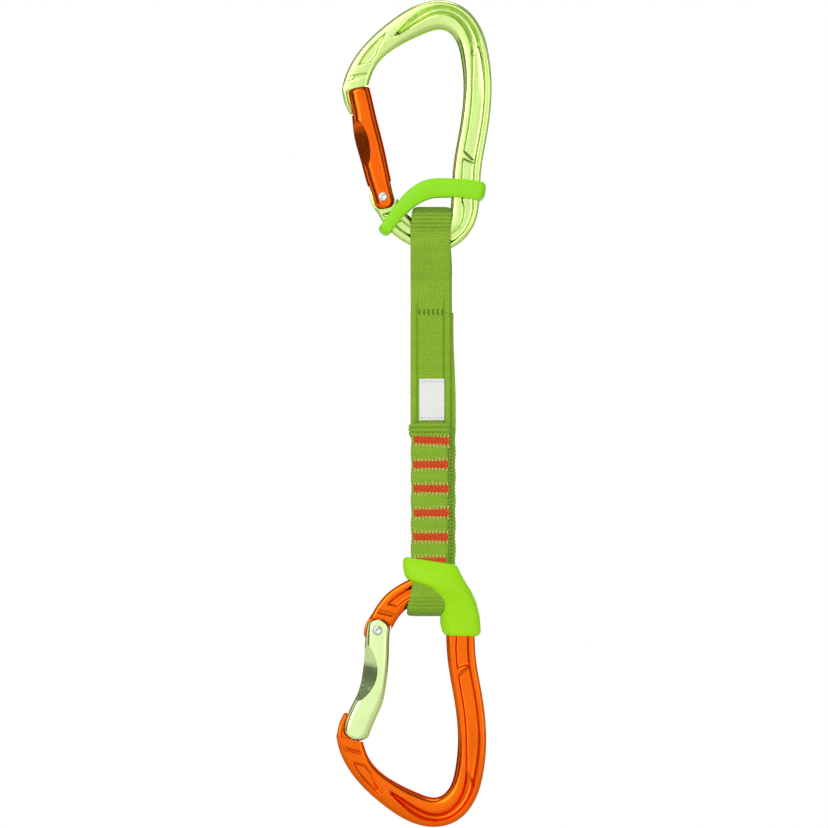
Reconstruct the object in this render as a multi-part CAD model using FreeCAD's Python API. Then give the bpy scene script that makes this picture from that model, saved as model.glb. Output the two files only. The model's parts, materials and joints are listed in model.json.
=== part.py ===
import FreeCAD, Part
import math
import os

# Climbing quickdraw: two forged wire-free carabiners joined by a sewn webbing sling.
# Frame: millimetres, +X towards the spines, -Y the front, +Z up.
# The origin is the hanger seat, the inner top of the upper carabiner's bow, at mid depth.

V = FreeCAD.Vector

# ---------------------------------------------------------------- driving dimensions, mm
frame_width = 60.0        # carabiner, outside of the nose to outside of the spine
frame_height = 100.8      # carabiner, top of the bow to bottom of the basket
bar_depth = 8.0           # forging, front to back
bow_bar = 11.7            # width of the bar, seen from the front, over the bow
spine_bar = 11.3          # down the spine
basket_bar = 10.4         # at the bottom of the basket
arm_bar = 9.8             # on the arm that carries the gate
shoulder_bar = 9.2        # between bow and nose
nose_bar = 10.4           # at the nose
edge_round = 1.6          # rounding along the bar's edges
relief_depth = 1.2        # forged recess in both faces
relief_inset = 2.5        # flange left beside the recess
tongue_depth = 3.6        # nose tongue and hinge tab, front to back

gate_width = 9.4
gate_bow = 3.35           # how far the bent gate bows inwards
butt_radius = 4.75        # rounded butt of the gate, round its rivet
gate_round = 2.0
gate_angle = 27.0         # full opening
mouth_gap = 0.4           # between the gate's tip and the frame
hinge_gap = 0.85          # between the gate's butt and the arm
slot_gap = 0.25           # each side of the tongue and the tab

rivet_radius = 1.5
rivet_head_radius = 2.1
rivet_head_height = 0.4
rivet_running_gap = 0.05

cam_radius = 3.4          # hinge tab's cam, with the gate shut
plunger_travel = 1.0      # over the gate's whole opening
tip_radius = 1.2          # plunger's round tip and stem
head_radius = 1.6         # plunger's head, in the gate's bore
head_height = 2.5
bore_gap = 0.08
spring_wire = 0.5
spring_length = 13.0
spring_turns = 8

webbing_width = 16.0
webbing_thickness = 2.2
sling_length = 163.8      # fold to fold
eye_gap = 0.3             # between the forging's faces and the webbing round it
upper_slack = 5.8         # eye above the upper basket
lower_slack = 4.1
twist_drop = 36.0         # from the upper fold down to the middle of the twist
bend_drop = 54.0          # from the upper fold down to the free bend
mouth_rise = 26.6         # from the lower fold up to the bend at the boot's mouth
joint_gap = 0.3
strand_shift = 1.2        # back strand stands this far to the right
lower_shift = -2.2        # lower carabiner, to the left of the upper one
lower_eye_shift = -1.4

lap_rise = 77.2           # from the lower fold up to the top of the hem
lap_width = 14.0
lap_thickness = 1.8
hem_height = 4.6
hem_thickness = 2.4
hem_width = 16.0

tack_count = 6
tack_pitch = 9.65
tack_first_rise = 70.4    # from the lower fold up to the first bar tack
tack_width = 12.4
tack_height = 3.6
tack_thickness = 0.5

label_width = 10.0
label_height = 16.6
label_thickness = 0.4
label_gap = 1.2           # between label and hem
thread_thickness = 0.2
stitch_length = 1.1
stitch_height = 2.4
stitch_count = 6

band_thickness = 1.5
band_gap = 0.15
boot_wall = 1.5
boot_gap = 0.1
boot_height = 10.4        # sleeve round the sling
boot_top_drop = 0.3       # below the lower eye's upper end


# ---------------------------------------------------------------- helpers
def spline_through(points):
    curve = Part.BSplineCurve()
    curve.interpolate(points)
    return curve


def line(a, b):
    return Part.LineSegment(a, b).toShape()


def arc(a, b, c):
    return Part.Arc(a, b, c).toShape()


def prism_y(wire, half_depth):
    """Solid from a wire in the XZ plane, half_depth to front and back."""
    face = Part.Face(wire)
    face.translate(V(0, -half_depth, 0))
    return face.extrude(V(0, 2 * half_depth, 0))


def prism_x(wire, left, width):
    """Solid from a wire in the YZ plane."""
    face = Part.Face(wire)
    face.translate(V(left, 0, 0))
    return face.extrude(V(width, 0, 0))


def block(x0, x1, y0, y1, z0, z1):
    return Part.makeBox(x1 - x0, y1 - y0, z1 - z0, V(x0, y0, z0))


def pin_y(centre, radius, y0, y1):
    return Part.makeCylinder(radius, y1 - y0, V(centre.x, y0, centre.z), V(0, 1, 0))


def both_faces(centre, radius, inner, outer):
    front = pin_y(centre, radius, -outer, -inner)
    back = pin_y(centre, radius, inner, outer)
    return front, back


class Bar:
    """A flat bar along a smooth centreline. The spline's Y carries the bar's width."""

    def __init__(self, stations):
        self.stations = [V(x, width, z) for x, z, width in stations]
        self.curve = spline_through(self.stations)

    def at(self, station):
        low = min(int(station), len(self.stations) - 2)
        start = self.curve.parameter(self.stations[low])
        end = self.curve.parameter(self.stations[low + 1])
        return start + (end - start) * (station - low)

    def edge(self, first, last, side, inset, samples=30):
        points = []
        for step in range(samples + 1):
            u = self.at(first) + (self.at(last) - self.at(first)) * step / samples
            place = self.curve.value(u)
            along = self.curve.tangent(u)[0]
            across = V(-along.z, 0, along.x).normalize()
            points.append(V(place.x, 0, place.z) + across * side * (place.y / 2 - inset))
        return points

    def strip(self, first, last, inset, half_depth):
        outer = spline_through(self.edge(first, last, 1, inset)).toShape()
        inner = spline_through(self.edge(first, last, -1, inset)).toShape()
        start = line(inner.Vertexes[0].Point, outer.Vertexes[0].Point)
        end = line(outer.Vertexes[-1].Point, inner.Vertexes[-1].Point)
        return prism_y(Part.Wire([start, outer, end, inner]), half_depth)


def long_edges(solid, half_depth):
    """Edges that lie in the two faces and follow the bar."""
    found = []
    for edge in solid.Edges:
        in_face = abs(abs(edge.CenterOfMass.y) - half_depth) < 1e-6
        if in_face and edge.Length > 3 * half_depth:
            found.append(edge)
    return found


# ---------------------------------------------------------------- carabiner, hanging by its bow
centre_width = frame_width - (spine_bar + nose_bar) / 2
centre_height = frame_height - (bow_bar + basket_bar) / 2


def on_frame(across, down):
    """Centreline point from shares of the frame's width and height, seat at the origin."""
    return V(across * centre_width, 0, bow_bar / 2 - down * centre_height)


crest_bar = (shoulder_bar + bow_bar) / 2
turn_bar = (spine_bar + basket_bar) / 2
# share across, share down, bar width: from the nose over the bow, down the spine,
# round the basket and up the arm to the rivet
FRAME_STATIONS = [
    (-0.692, 0.317, nose_bar),
    (-0.617, 0.218, shoulder_bar),
    (-0.503, 0.142, shoulder_bar),
    (-0.346, 0.076, crest_bar),
    (-0.180, 0.025, bow_bar),
    (0.0, 0.0, bow_bar),
    (0.120, 0.018, bow_bar),
    (0.226, 0.082, spine_bar),
    (0.285, 0.191, spine_bar),
    (0.305, 0.310, spine_bar),
    (0.263, 0.544, spine_bar),
    (0.220, 0.689, spine_bar),
    (0.203, 0.840, spine_bar),
    (0.163, 0.925, turn_bar),
    (0.065, 0.979, turn_bar),
    (-0.061, 1.0, basket_bar),
    (-0.204, 0.976, arm_bar),
    (-0.326, 0.930, arm_bar),
    (-0.420, 0.858, arm_bar),
    (-0.464, 0.8095, arm_bar),
]
BOW_RELIEF = (3.4, 10.5)
BASKET_RELIEF = (11.0, 16.9)
SHOULDER_RELIEF = (1.0, 3.0)
BASKET_STATION = 15

rivet_at = on_frame(-0.464, 0.8095)
mouth_at = on_frame(-0.670, 0.324)
gate_length = rivet_at.distanceToPoint(mouth_at)
gate_along = (mouth_at - rivet_at).normalize()
gate_across = V(gate_along.z, 0, -gate_along.x)

# share of the gate's length, offset towards the inside, share of the gate's width
STRAIGHT_GATE = [
    (0.0, 0.0, 0.98),
    (0.18, -0.2, 1.05),
    (0.36, -0.25, 1.10),
    (0.60, -0.45, 1.12),
    (0.75, -0.1, 1.02),
    (0.88, 0.0, 1.0),
    (1.03, 0.1, 0.95),
]
BENT_GATE = [
    (0.0, 0.0, 0.98),
    (0.19, 0.52 * gate_bow, 1.03),
    (0.36, 0.86 * gate_bow, 1.06),
    (0.48, 1.00 * gate_bow, 1.08),
    (0.61, 0.96 * gate_bow, 1.14),
    (0.745, 0.59 * gate_bow, 1.17),
    (0.885, 0.29 * gate_bow, 1.17),
    (1.03, 0.25 * gate_bow, 1.06),
]
STRAIGHT_BORE_LEAN = 0.0
BENT_BORE_LEAN = 9.5

gate_half = bar_depth / 2
tongue_half = tongue_depth / 2
slot_half = tongue_half + slot_gap
tongue_tip = gate_length * 0.775
tongue_inner = 0.8
fork_depth = max(arm_bar / 2, cam_radius + plunger_travel) + 0.4


def on_gate(along, across):
    """Point in the shut gate's own directions, from the rivet."""
    return rivet_at + gate_along * along + gate_across * across


def turned(shape, degrees):
    """The shape turned about the rivet, positive as the gate opens."""
    copy = shape.copy()
    copy.rotate(rivet_at, V(0, 1, 0), degrees)
    return copy


def make_tongue():
    """Key-shaped tongue below the nose, which the shut gate's slot holds."""
    top = gate_length + 2.5
    outline = spline_through([
        on_gate(top, -6.0),
        on_gate(gate_length * 0.93, -6.5),
        on_gate(gate_length * 0.85, -6.2),
        on_gate(tongue_tip, -4.4),
        on_gate(tongue_tip + 0.6, -1.4),
        on_gate(tongue_tip + 3.0, tongue_inner),
        on_gate(gate_length * 0.90, tongue_inner - 0.4),
        on_gate(gate_length * 0.96, tongue_inner - 1.2),
        on_gate(top, tongue_inner),
    ]).toShape()
    closing = line(outline.Vertexes[-1].Point, outline.Vertexes[0].Point)
    return prism_y(Part.Wire([outline, closing]), tongue_half)


def make_cam(bore_lean):
    """Spiral edge of the hinge tab: its radius grows evenly as the gate opens."""
    start = math.radians(bore_lean - 6)
    end = math.radians(bore_lean + gate_angle + 20)
    rise = plunger_travel / math.radians(gate_angle)
    samples = 16
    points = []
    for step in range(samples + 1):
        angle = start + (end - start) * step / samples
        radius = cam_radius + rise * (angle - math.radians(bore_lean))
        points.append(on_gate(radius * math.cos(angle), radius * math.sin(angle)))
    edge = spline_through(points).toShape()
    wire = Part.Wire([line(rivet_at, points[0]), edge, line(points[-1], rivet_at)])
    return prism_y(wire, tongue_half)


def make_frame(bore_lean):
    bar = Bar([(on_frame(a, d).x, on_frame(a, d).z, w) for a, d, w in FRAME_STATIONS])
    last = len(FRAME_STATIONS) - 1
    solid = bar.strip(0, last, 0, bar_depth / 2)
    solid = solid.makeFillet(edge_round, long_edges(solid, bar_depth / 2))

    floor = bar_depth / 2 - relief_depth
    for first, end in (BOW_RELIEF, BASKET_RELIEF, SHOULDER_RELIEF):
        recess = bar.strip(first, end, relief_inset, bar_depth)
        core = block(-frame_width, frame_width, -floor, floor, -2 * frame_height, frame_height)
        solid = solid.cut(recess.cut(core))

    for cheek in both_faces(rivet_at, butt_radius + hinge_gap, tongue_half, bar_depth):
        solid = solid.cut(cheek)
    reach = gate_length + mouth_gap
    swing = Part.makeCylinder(reach, 2 * bar_depth, V(rivet_at.x, -bar_depth, rivet_at.z),
                              V(0, 1, 0))
    corner = mouth_at + gate_across * nose_bar
    near_nose = block(-frame_width, corner.x, -bar_depth, bar_depth, corner.z - nose_bar,
                      corner.z + 2 * nose_bar)
    solid = solid.cut(swing.common(near_nose))

    tab = pin_y(rivet_at, cam_radius - 0.2, -tongue_half, tongue_half)
    solid = solid.fuse([make_tongue(), tab, make_cam(bore_lean)]).removeSplitter()
    return solid.cut(pin_y(rivet_at, rivet_radius, -bar_depth, bar_depth)), bar


def make_gate(shape, bore_lean):
    stations = []
    for share, offset, width in shape:
        place = on_gate(share * gate_length, offset)
        stations.append((place.x, place.z, width * gate_width))
    bar = Bar(stations)
    solid = bar.strip(0, len(stations) - 1, 0, gate_half)
    solid = solid.fuse(pin_y(rivet_at, butt_radius, -gate_half, gate_half)).removeSplitter()
    solid = solid.common(pin_y(rivet_at, gate_length, -gate_half, gate_half))
    rims = [e for e in solid.Edges if abs(abs(e.CenterOfMass.y) - gate_half) < 1e-6]
    solid = solid.makeFillet(gate_round, rims)

    # slot for the tongue, open to the outside and at the tip
    slot = block(-2 * gate_width, tongue_inner + 0.35, -slot_half, slot_half,
                 tongue_tip - 0.4, 2 * gate_length)
    # fork round the hinge tab
    fork = block(-2 * gate_width, 2 * gate_width, -slot_half, slot_half,
                 -2 * gate_width, fork_depth)
    bore = Part.makeCylinder(head_radius + bore_gap, bore_end() - fork_depth + 1,
                             V(0, 0, fork_depth - 1))
    bore.rotate(V(0, 0, 0), V(0, 1, 0), bore_lean)
    for tool in (slot, fork, bore):
        solid = solid.cut(to_gate(tool))
    hole = pin_y(rivet_at, rivet_radius + rivet_running_gap, -bar_depth, bar_depth)
    return solid.cut(hole)


def to_gate(shape):
    """Moves a shape made along +Z at the origin onto the shut gate."""
    copy = shape.copy()
    tilt = math.degrees(math.atan2(gate_along.x, gate_along.z))
    copy.rotate(V(0, 0, 0), V(0, 1, 0), tilt)
    copy.translate(rivet_at)
    return copy


def plunger_base():
    """Height of the plunger's tip above the rivet, clear of the cam."""
    slope = math.atan(plunger_travel / math.radians(gate_angle) / cam_radius)
    return cam_radius + tip_radius / math.cos(slope) - tip_radius + 0.05


def head_base():
    return fork_depth + plunger_travel + 1.2


def bore_end():
    return head_base() + head_height + spring_length


def make_plunger(bore_lean):
    tip = Part.makeSphere(tip_radius, V(0, 0, plunger_base() + tip_radius))
    stem = Part.makeCylinder(tip_radius, head_base() - plunger_base() - tip_radius,
                             V(0, 0, plunger_base() + tip_radius))
    head = Part.makeCylinder(head_radius, head_height, V(0, 0, head_base()))
    solid = tip.fuse([stem, head]).removeSplitter()
    solid.rotate(V(0, 0, 0), V(0, 1, 0), bore_lean)
    return to_gate(solid)


def make_spring(bore_lean):
    coil_radius = head_radius - spring_wire / 2
    coil_height = spring_length - spring_wire
    coil = Part.makeHelix(coil_height / spring_turns, coil_height, coil_radius)
    ring = Part.makeCircle(spring_wire / 2, V(coil_radius, 0, 0), V(0, 1, 0))
    solid = Part.Wire(coil).makePipeShell([Part.Wire(ring)], True, True)
    solid.translate(V(0, 0, head_base() + head_height + spring_wire / 2))
    solid.rotate(V(0, 0, 0), V(0, 1, 0), bore_lean)
    return to_gate(solid)


def make_rivet():
    shaft = pin_y(rivet_at, rivet_radius, -gate_half, gate_half)
    heads = both_faces(rivet_at, rivet_head_radius, gate_half, gate_half + rivet_head_height)
    return shaft.fuse(list(heads)).removeSplitter()


def make_carabiner(gate_shape, bore_lean):
    frame, bar = make_frame(bore_lean)
    pieces = {
        "frame": frame,
        "gate": make_gate(gate_shape, bore_lean),
        "gate_rivet": make_rivet(),
        "gate_plunger": make_plunger(bore_lean),
        "gate_spring": make_spring(bore_lean),
    }
    return pieces, bar


# ---------------------------------------------------------------- sling
basket = on_frame(FRAME_STATIONS[BASKET_STATION][0], 1.0)
basket_top = basket.z + basket_bar / 2
basket_bottom = basket.z - basket_bar / 2
upper_fold = basket_top + upper_slack + webbing_thickness
lower_fold = upper_fold - sling_length
lower_seat = V(lower_shift, 0, lower_fold + lower_slack + webbing_thickness + basket_top)

sling_left = basket.x - webbing_width / 2 - 0.9
eye_half = bar_depth / 2 + eye_gap
eye_outer = eye_half + webbing_thickness
twist_z = upper_fold - twist_drop
bend_z = upper_fold - bend_drop
mouth_z = lower_fold + mouth_rise
lap_top = lower_fold + lap_rise
lap_bottom = mouth_z + webbing_thickness + 0.1


def eye(fold, apart, join, cut, left):
    """Webbing loop from its fold to where the two strands lie together."""
    toward = 1 if fold > cut else -1
    middle = fold - toward * eye_outer
    t = webbing_thickness
    outer = Part.Wire([
        line(V(0, -t, cut), V(0, -t, join)),
        line(V(0, -t, join), V(0, -eye_outer, apart)),
        line(V(0, -eye_outer, apart), V(0, -eye_outer, middle)),
        arc(V(0, -eye_outer, middle), V(0, 0, fold), V(0, eye_outer, middle)),
        line(V(0, eye_outer, middle), V(0, eye_outer, apart)),
        line(V(0, eye_outer, apart), V(0, t, join)),
        line(V(0, t, join), V(0, t, cut)),
        line(V(0, t, cut), V(0, -t, cut)),
    ])
    inner = Part.Wire([
        line(V(0, 0, join), V(0, -eye_half, apart)),
        line(V(0, -eye_half, apart), V(0, -eye_half, middle)),
        arc(V(0, -eye_half, middle), V(0, 0, fold - toward * t), V(0, eye_half, middle)),
        line(V(0, eye_half, middle), V(0, eye_half, apart)),
        line(V(0, eye_half, apart), V(0, 0, join)),
    ])
    whole = prism_x(outer, left, webbing_width)
    hollow = prism_x(inner, left - 1, webbing_width + 2)
    return whole, whole.cut(hollow)


def make_upper_eye(bar):
    apart = basket_bottom - 1.5
    join = twist_z + 3.0
    _, loop = eye(upper_fold, apart, join, twist_z + joint_gap / 2, sling_left)
    last = len(FRAME_STATIONS) - 1
    return loop.cut(bar.strip(8, last, -0.1, bar_depth / 2 + 0.1))


def knuckle(z, x0, x1, y0, y1):
    """Half-round lower end of a stretch of webbing, on the bend's axis."""
    roll = Part.makeCylinder(webbing_thickness, x1 - x0, V(x0, 0, z), V(1, 0, 0))
    lower = block(x0, x1, y0, y1, z - webbing_thickness, z)
    return roll.common(lower)


def make_twisting_stretch():
    x0, x1 = sling_left, sling_left + webbing_width
    t = webbing_thickness
    body = block(x0, x1, -t, t, bend_z, twist_z - joint_gap / 2)
    return body.fuse(knuckle(bend_z, x0, x1, -t, t)).removeSplitter()


def make_strand(shift, y0, y1):
    x0 = sling_left + shift
    x1 = x0 + webbing_width
    top = bend_z - webbing_thickness - joint_gap
    body = block(x0, x1, y0, y1, mouth_z, top)
    return body.fuse(knuckle(mouth_z, x0, x1, y0, y1)).removeSplitter()


def make_lap():
    front = -webbing_thickness
    return block(sling_left, sling_left + lap_width, front - lap_thickness, front,
                 lap_bottom, lap_top - hem_height)


def make_hem():
    front = -webbing_thickness
    centre = sling_left + lap_width / 2
    hem = block(centre - hem_width / 2, centre + hem_width / 2, front - hem_thickness, front,
                lap_top - hem_height, lap_top)
    return hem.makeFillet(0.8, [e for e in hem.Edges if e.CenterOfMass.y < front - 2.0
                                and e.Length > lap_width])


def make_tack(index):
    """One bar tack: a block of thread on the front face and one on the back."""
    z = lower_fold + tack_first_rise - index * tack_pitch
    x0 = sling_left + (lap_width - tack_width) / 2
    sunk = index == tack_count - 1
    front = -webbing_thickness - (0 if sunk else lap_thickness)
    half = tack_height / 3 if sunk else tack_height / 2
    pieces = [block(x0, x0 + tack_width, front - tack_thickness, front, z - half, z + half)]
    if not sunk:
        back = webbing_thickness
        shift = strand_shift
        pieces.append(block(x0 + shift, x0 + shift + tack_width, back, back + tack_thickness,
                            z - half, z + half))
    return Part.makeCompound(pieces)


def make_label():
    top = lap_top + label_gap + label_height
    centre = sling_left + webbing_width / 2
    front = -webbing_thickness
    return block(centre - label_width / 2, centre + label_width / 2, front - label_thickness,
                 front, top - label_height, top)


def make_label_stitching():
    """Two rows of thread across the label, near its top and its bottom."""
    top = lap_top + label_gap + label_height
    centre = sling_left + webbing_width / 2
    front = -webbing_thickness - label_thickness
    rows = []
    for z in (top - 1.2, top - label_height + 1.2):
        for step in range(stitch_count):
            x = centre + (step - (stitch_count - 1) / 2) * (stitch_length + 0.4)
            rows.append(block(x - stitch_length / 2, x + stitch_length / 2,
                              front - thread_thickness, front, z - 0.2, z + 0.2))
    return Part.makeCompound(rows)


def make_marker_stitches():
    """Row of short upright stitches on the free webbing."""
    z = twist_z - 6.2
    centre = sling_left + webbing_width / 2
    row = []
    for step in range(stitch_count):
        x = centre + (step - (stitch_count - 1) / 2) * 1.8
        row.append(block(x - 0.45, x + 0.45, -webbing_thickness - thread_thickness,
                         -webbing_thickness, z - stitch_height / 2, z + stitch_height / 2))
    return Part.makeCompound(row)


eye_left = sling_left + lower_eye_shift
eye_top = mouth_z - webbing_thickness - joint_gap
lower_basket_top = lower_seat.z - basket_bottom
lower_apart = lower_basket_top + 0.6
lower_join = eye_top - 3.4


def lower_eye_solids():
    return eye(lower_fold, lower_apart, lower_join, eye_top, eye_left)


# ---------------------------------------------------------------- keepers
def make_band(bar):
    """Elastic ring round the spine and the arm, over the sling's upper eye."""
    stations = [
        on_frame(-0.461, 0.968),
        on_frame(-0.373, 0.901),
        on_frame(-0.245, 0.823),
        on_frame(-0.080, 0.772),
        on_frame(0.080, 0.770),
        on_frame(0.245, 0.777),
        on_frame(0.352, 0.786),
    ]
    widths = [4.6, 5.4, 6.5, 7.7, 7.7, 7.5, 7.5]
    strap = Bar([(p.x, p.z, w) for p, w in zip(stations, widths)])
    half = bar_depth / 2 + band_gap
    last = len(stations) - 1
    ring = strap.strip(0, last, 0, half + band_thickness)
    ring = ring.makeFillet(0.6, long_edges(ring, half + band_thickness))
    hollow = strap.strip(0.17, last - 0.22, -2, half)
    ring = ring.cut(hollow)
    return ring.cut(bar.strip(8, len(FRAME_STATIONS) - 1, -0.05, bar_depth / 2))


def make_boot(bar, eye_whole):
    """Rubber boot: a sleeve round the sling and a tube round the spine."""
    top = eye_top - boot_top_drop
    thin = webbing_thickness + lap_thickness + boot_wall - 0.4
    thick = eye_outer + boot_gap + boot_wall
    low = top - boot_height
    side = Part.makePolygon([
        V(0, -thin, top), V(0, thin, top), V(0, thick, lower_apart), V(0, thick, low),
        V(0, -thick, low), V(0, -thick, lower_apart), V(0, -thin, top),
    ])
    left = eye_left - boot_gap - boot_wall
    sleeve = prism_x(side, left, webbing_width + 2 * (boot_gap + boot_wall) + 1.5)
    tube = bar.strip(11.65, 14.2, -boot_wall, bar_depth / 2 + boot_wall)
    channel = bar.strip(8, 19, -0.02, bar_depth / 2 + 0.02)
    boot = sleeve.fuse(tube).cut(channel)
    grown = eye_whole.copy()
    room = block(eye_left - boot_gap, eye_left + webbing_width + boot_gap,
                 -webbing_thickness - tack_thickness - boot_gap, webbing_thickness + boot_gap,
                 lower_join, top + 1)
    return boot.cut(grown).cut(room)


# ---------------------------------------------------------------- assembly
def hang_lower(shape):
    """Turns a carabiner end for end, nose still to the left, and sets it on the lower seat."""
    copy = shape.copy()
    copy.rotate(V(0, 0, 0), V(1, 0, 0), 180)
    copy.translate(lower_seat)
    return copy


def build():
    nodes = {}
    upper, upper_bar = make_carabiner(STRAIGHT_GATE, STRAIGHT_BORE_LEAN)
    lower, _ = make_carabiner(BENT_GATE, BENT_BORE_LEAN)
    for name, shape in upper.items():
        nodes["upper_" + name] = shape
    for name, shape in lower.items():
        nodes["lower_" + name] = hang_lower(shape)

    nodes["sling_upper_eye"] = make_upper_eye(upper_bar)
    nodes["sling_twisting_stretch"] = make_twisting_stretch()
    nodes["sling_front_strand"] = make_strand(0, -webbing_thickness, 0)
    nodes["sling_back_strand"] = make_strand(strand_shift, 0, webbing_thickness)
    nodes["sling_lap"] = make_lap()
    nodes["sling_lap_hem"] = make_hem()
    for index in range(tack_count):
        nodes["bar_tack_" + str(index + 1)] = make_tack(index)
    nodes["sewn_label"] = make_label()
    nodes["label_stitching"] = make_label_stitching()
    nodes["marker_stitches"] = make_marker_stitches()

    nodes["upper_keeper_band"] = make_band(upper_bar)
    lower_stations = []
    for across, down, width in FRAME_STATIONS:
        place = on_frame(across, down)
        lower_stations.append((lower_seat.x + place.x, lower_seat.z - place.z, width))
    lower_bar = Bar(lower_stations)
    eye_whole, eye_loop = lower_eye_solids()
    nodes["sling_lower_eye"] = eye_loop.cut(lower_bar.strip(8, 19, -0.1, bar_depth / 2 + 0.1))
    nodes["lower_keeper_boot"] = make_boot(lower_bar, eye_whole)
    return nodes


os.makedirs("parts", exist_ok=True)
for node_name, node_shape in build().items():
    node_shape.exportStep("parts/" + node_name + ".step")
    print(node_name, len(node_shape.Solids), round(node_shape.Volume, 1), node_shape.isValid())
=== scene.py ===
"""Climbing quickdraw: forged carabiners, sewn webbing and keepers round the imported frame."""
import json
import math

import bmesh
import bpy
import numpy as np
from mathutils import Matrix, Vector


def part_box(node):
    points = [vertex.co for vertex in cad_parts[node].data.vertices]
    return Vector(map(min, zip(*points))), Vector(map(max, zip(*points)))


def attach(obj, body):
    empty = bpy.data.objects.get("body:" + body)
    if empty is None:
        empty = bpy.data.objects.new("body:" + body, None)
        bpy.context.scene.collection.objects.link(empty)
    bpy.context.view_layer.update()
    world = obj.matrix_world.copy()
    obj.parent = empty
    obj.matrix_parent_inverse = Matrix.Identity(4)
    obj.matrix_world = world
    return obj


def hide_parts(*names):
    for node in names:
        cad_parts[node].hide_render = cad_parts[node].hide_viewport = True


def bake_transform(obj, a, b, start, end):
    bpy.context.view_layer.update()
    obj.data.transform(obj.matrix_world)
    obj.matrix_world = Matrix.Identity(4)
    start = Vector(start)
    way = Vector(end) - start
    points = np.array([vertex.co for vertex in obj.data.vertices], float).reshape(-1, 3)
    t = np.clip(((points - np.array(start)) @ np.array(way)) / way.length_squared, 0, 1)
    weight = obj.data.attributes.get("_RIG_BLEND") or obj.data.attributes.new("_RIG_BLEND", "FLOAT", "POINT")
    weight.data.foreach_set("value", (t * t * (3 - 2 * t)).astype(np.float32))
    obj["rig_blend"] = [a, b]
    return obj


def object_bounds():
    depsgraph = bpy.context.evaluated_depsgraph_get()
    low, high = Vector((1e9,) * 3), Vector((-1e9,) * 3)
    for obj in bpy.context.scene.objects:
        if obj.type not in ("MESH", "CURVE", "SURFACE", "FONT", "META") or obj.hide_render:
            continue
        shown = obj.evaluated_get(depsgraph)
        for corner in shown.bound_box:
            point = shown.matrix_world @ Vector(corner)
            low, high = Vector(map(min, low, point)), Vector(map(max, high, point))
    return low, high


bl_info = {
    "name": "Climbing Quickdraw",
    "version": (1, 0, 0),
    "blender": (4, 5, 0),
    "location": "3D View > Sidebar > Quickdraw",
    "description": "Builds a sewn quickdraw with two solid-gate carabiners round its packed frame",
    "category": "Add Mesh",
}

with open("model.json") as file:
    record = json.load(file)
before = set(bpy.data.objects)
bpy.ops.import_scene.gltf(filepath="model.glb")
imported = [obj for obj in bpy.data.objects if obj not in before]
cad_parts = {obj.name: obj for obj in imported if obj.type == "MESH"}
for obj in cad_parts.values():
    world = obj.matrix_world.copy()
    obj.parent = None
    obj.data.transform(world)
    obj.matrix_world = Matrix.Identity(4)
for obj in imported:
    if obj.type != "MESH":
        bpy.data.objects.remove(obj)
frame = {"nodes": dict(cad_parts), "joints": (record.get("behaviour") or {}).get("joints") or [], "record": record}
CAD_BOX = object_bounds()
MM = 0.001
VIEW_FIELD = 331.2 * MM      # height and width of the main view, at the quickdraw
VIEW_AIM = Vector((-10.4, 0, -153.6)) * MM
VIEW_DISTANCE = 2.5          # metres
FLOOR_DROP = 0.06            # floor below the quickdraw's lowest point
FLOOR_HALF = 0.8             # half the floor's width
# Area lights: name, place in metres, width, watts.
LIGHTS = [
    ("key_light", (-0.8, -1.5, 0.5), 1.5, 13.0),
    ("fill_light", (1.3, -1.3, -0.2), 1.3, 5.0),
    ("top_light", (0.0, -0.2, 1.1), 0.9, 4.0),
    ("back_light", (0.2, 1.3, 0.1), 1.0, 5.0),
]


def mount(name):
    """A mount's place, in millimetres."""
    found = next(m for m in frame["record"]["mounts"] if m["name"] == name)
    return Vector(found["pos_m"]) / MM


def joint(name):
    """A joint's place, in millimetres."""
    found = next(j for j in frame["joints"] if j["name"] == name)
    return Vector(found["pos_m"]) / MM


def node_box(name):
    """A node's box corners, in millimetres."""
    low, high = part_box(name)
    return low / MM, high / MM


RIVET = joint("upper_gate_hinge")
LOWER_SEAT = mount("rope_seat")
TWIST_Z = joint("sling_twist").z
BEND_Z = joint("sling_bend").z
MOUTH_Z = joint("boot_mouth_bend").z
EYE_HIGH = node_box("sling_upper_eye")[1]
LOWER_EYE_LOW = node_box("sling_lower_eye")[0]
HEM_LOW, HEM_HIGH = node_box("sling_lap_hem")
LABEL_LOW, LABEL_HIGH = node_box("sewn_label")
FRONT_LOW = node_box("sling_front_strand")[0]
BACK_LOW, BACK_HIGH = node_box("sling_back_strand")
LAP_LOW, LAP_HIGH = node_box("sling_lap")
TACKS = [node_box("bar_tack_%d" % number) for number in range(1, 7)]
TURN_OVER = Matrix.Translation(LOWER_SEAT * MM) @ Matrix.Rotation(math.pi, 4, "X")


# ------------------------------------------------------------------ colour and sizes
def linear(code):
    """Linear RGBA from an sRGB hex value."""
    channels = [((code >> shift) & 255) / 255 for shift in (16, 8, 0)]
    low = [c / 12.92 if c <= 0.04045 else ((c + 0.055) / 1.055) ** 2.4 for c in channels]
    return (*low, 1.0)


def colour(name, code, description):
    return bpy.props.FloatVectorProperty(
        name=name, description=description, subtype="COLOR", size=4, min=0, max=1,
        default=linear(code))


def size(name, value, description):
    return bpy.props.FloatProperty(
        name=name, description=description, default=value, min=0, unit="NONE")


GREEN_GLANCE = linear(0x9CC030)      # anodising's tint where light grazes it
ORANGE_GLANCE = linear(0xC03000)


class QuickdrawForging(bpy.types.PropertyGroup):
    """Sizes of the forged frames and gates, in millimetres."""
    depth: size("Depth", 8.0, "Forging's thickness, front to back")
    edge: size("Edge radius", 1.5, "Rounding of the bar's outer edges")
    rope_edge: size("Rope radius", 3.0, "Rounding of the bow's inner edge, where a rope runs")
    relief: size("Relief", 1.15, "Depth of the forged recesses in both faces")
    tongue: size("Tongue", 3.6, "Thickness of the nose tongue and the hinge tab")
    gate_width: size("Gate width", 9.4, "Gate, seen from the front")


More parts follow.
